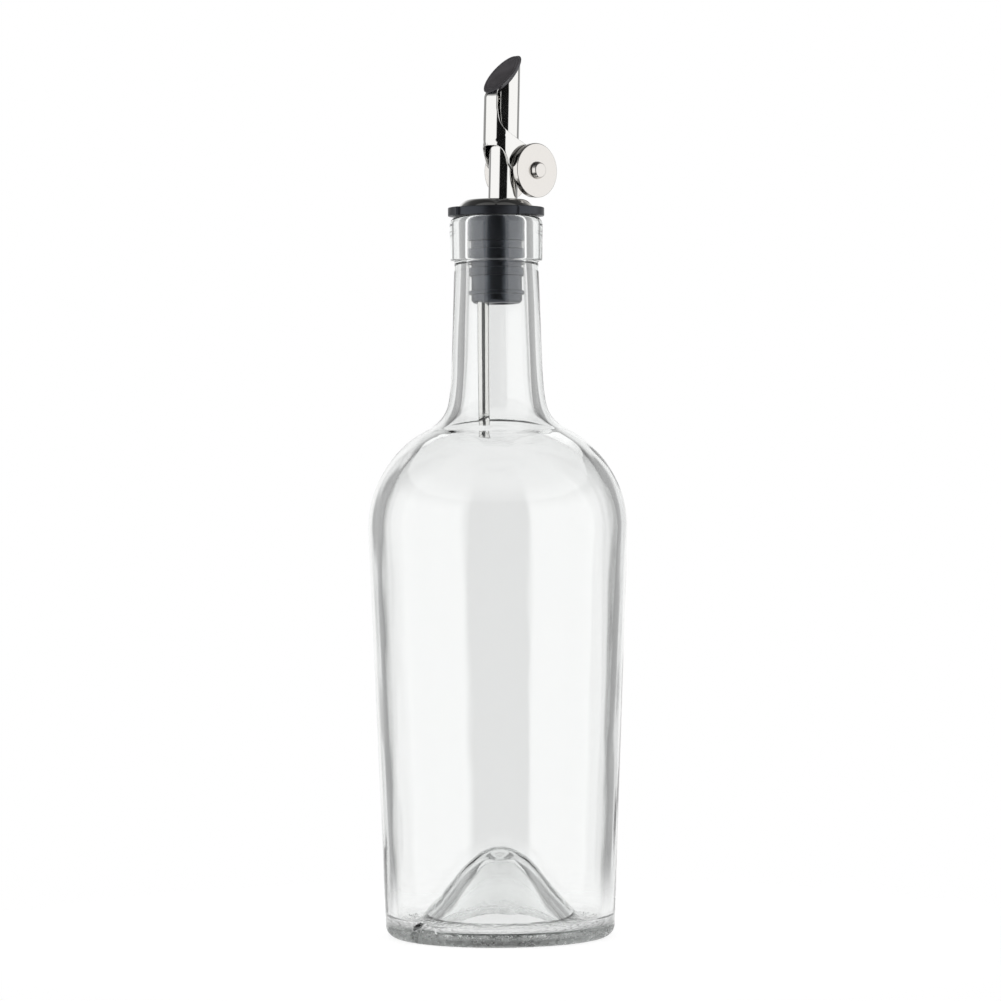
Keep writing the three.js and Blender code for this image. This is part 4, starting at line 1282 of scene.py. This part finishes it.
def studio_light():
    """White all round the object apart from the open side of the studio, where the camera stands,
    and two narrow gaps between the side lights and the backdrop. Brightness follows the angle
    round from the camera's side and the height above the horizon. The open side is dark in
    mirrored light alone, so that the glass stays clear when it's seen from behind."""
    world = bpy.data.worlds.new("studio")
    bpy.context.scene.world = world
    world.use_nodes = True
    tree = world.node_tree
    link = tree.links.new
    place = add_node(tree, "ShaderNodeTexCoord")
    towards = add_node(tree, "ShaderNodeVectorMath", operation="DOT_PRODUCT")
    sideways = add_node(tree, "ShaderNodeVectorMath", operation="DOT_PRODUCT")
    towards.inputs[1].default_value = TOWARDS_CAMERA
    sideways.inputs[1].default_value = Vector((0, 0, 1)).cross(TOWARDS_CAMERA)
    either = add_node(tree, "ShaderNodeMath", operation="ABSOLUTE")
    angle = add_node(tree, "ShaderNodeMath", operation="ARCTAN2")
    share = add_node(tree, "ShaderNodeMath", operation="DIVIDE")
    share.inputs[1].default_value = math.pi
    unmirrored = add_node(tree, "ShaderNodeMath", operation="LESS_THAN")
    unmirrored.inputs[1].default_value = 0.5
    least = add_node(tree, "ShaderNodeMath", operation="MULTIPLY")
    least.inputs[1].default_value = OPEN_SIDE / 180
    lit_share = add_node(tree, "ShaderNodeMath", operation="MAXIMUM")
    around = brightness_ramp(tree, LIGHT_AROUND, 180)
    axes = add_node(tree, "ShaderNodeSeparateXYZ")
    height = brightness_ramp(tree, LIGHT_ABOVE, 1)
    joined = add_node(tree, "ShaderNodeMath", operation="MULTIPLY")
    scaled = add_node(tree, "ShaderNodeMath", operation="MULTIPLY")
    scaled.inputs[1].default_value = LIGHT_STRENGTH
    seen = add_node(tree, "ShaderNodeLightPath")
    pick = add_node(tree, "ShaderNodeMix", data_type="FLOAT")
    pick.inputs["B"].default_value = 1.0
    link(place.outputs["Generated"], towards.inputs[0])
    link(place.outputs["Generated"], sideways.inputs[0])
    link(place.outputs["Generated"], axes.inputs["Vector"])
    link(sideways.outputs["Value"], either.inputs[0])
    link(either.outputs["Value"], angle.inputs[0])
    link(towards.outputs["Value"], angle.inputs[1])
    link(angle.outputs["Value"], share.inputs[0])
    link(seen.outputs["Glossy Depth"], unmirrored.inputs[0])
    link(unmirrored.outputs["Value"], least.inputs[0])
    link(share.outputs["Value"], lit_share.inputs[0])
    link(least.outputs["Value"], lit_share.inputs[1])
    link(lit_share.outputs["Value"], around.inputs["Fac"])
    link(axes.outputs["Z"], height.inputs["Fac"])
    link(around.outputs["Color"], joined.inputs[0])
    link(height.outputs["Color"], joined.inputs[1])
    link(joined.outputs["Value"], scaled.inputs[0])
    link(scaled.outputs["Value"], pick.inputs["A"])
    link(seen.outputs["Is Camera Ray"], pick.inputs["Factor"])
    link(pick.outputs["Result"], tree.nodes["Background"].inputs["Strength"])
    tree.nodes["Background"].inputs["Color"].default_value = (1, 1, 1, 1)


def overhead_light():
    """A broad soft light from above, for the floor and matt surfaces; it isn't mirrored."""
    data = bpy.data.lights.new("overhead", "SUN")
    data.energy = OVERHEAD_STRENGTH
    data.angle = OVERHEAD_SPREAD
    light = new_object("overhead", data)
    light.visible_glossy = False
    light.visible_camera = False


def studio_floor():
    """A pale table top, lit a little from inside so that it is as bright as the backdrop, into
    which its edge fades."""
    angle = circle_angles(96)
    rim = np.stack([FLOOR_RADIUS * np.cos(angle), FLOOR_RADIUS * np.sin(angle)], 1)
    mesh = bpy.data.meshes.new("floor")
    mesh.from_pydata([(x, y, FLOOR_Z) for x, y in rim.tolist()], [], [list(range(len(rim)))])
    floor = new_object("floor", mesh)
    material, tree, shader = new_material("pale_floor")
    matt = add_node(tree, "ShaderNodeBsdfDiffuse", {"Color": (FLOOR_GREY, FLOOR_GREY, FLOOR_GREY, 1)})
    glow = add_node(tree, "ShaderNodeEmission", {"Strength": FLOOR_GLOW})
    both = add_node(tree, "ShaderNodeAddShader")
    clear = add_node(tree, "ShaderNodeBsdfTransparent")
    faded = add_node(tree, "ShaderNodeMixShader")
    place = add_node(tree, "ShaderNodeTexCoord")
    radius = add_node(tree, "ShaderNodeVectorMath", operation="LENGTH")
    fade = add_node(
        tree,
        "ShaderNodeMapRange",
        {"From Min": FLOOR_FADE, "From Max": FLOOR_RADIUS},
        interpolation_type="SMOOTHSTEP",
    )
    tree.nodes.remove(shader)
    tree.links.new(matt.outputs["BSDF"], both.inputs[0])
    tree.links.new(glow.outputs["Emission"], both.inputs[1])
    tree.links.new(place.outputs["Object"], radius.inputs[0])
    tree.links.new(radius.outputs["Value"], fade.inputs["Value"])
    tree.links.new(fade.outputs["Result"], faded.inputs["Fac"])
    tree.links.new(both.outputs["Shader"], faded.inputs[1])
    tree.links.new(clear.outputs["BSDF"], faded.inputs[2])
    tree.links.new(faded.outputs["Shader"], tree.nodes["Material Output"].inputs["Surface"])
    mesh.materials.append(material)


# ---------------------------------------------------------------- putting it together

studio_camera()
studio_light()
overhead_light()
studio_floor()

bottle()
stopper()
dome()
spout()
air_tube()
hood()
seal_pad()
weight(-1, "weight_near_steel", "weight_disc_near")
weight(1, "weight_far_steel", "weight_disc_far")
rivet()

for stud in ("pivot_stud_near", "pivot_stud_far"):
    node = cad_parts[stud]
    node.data.materials.clear()
    node.data.materials.append(POLISHED)

bpy.context.scene.view_settings.view_transform = "Standard"
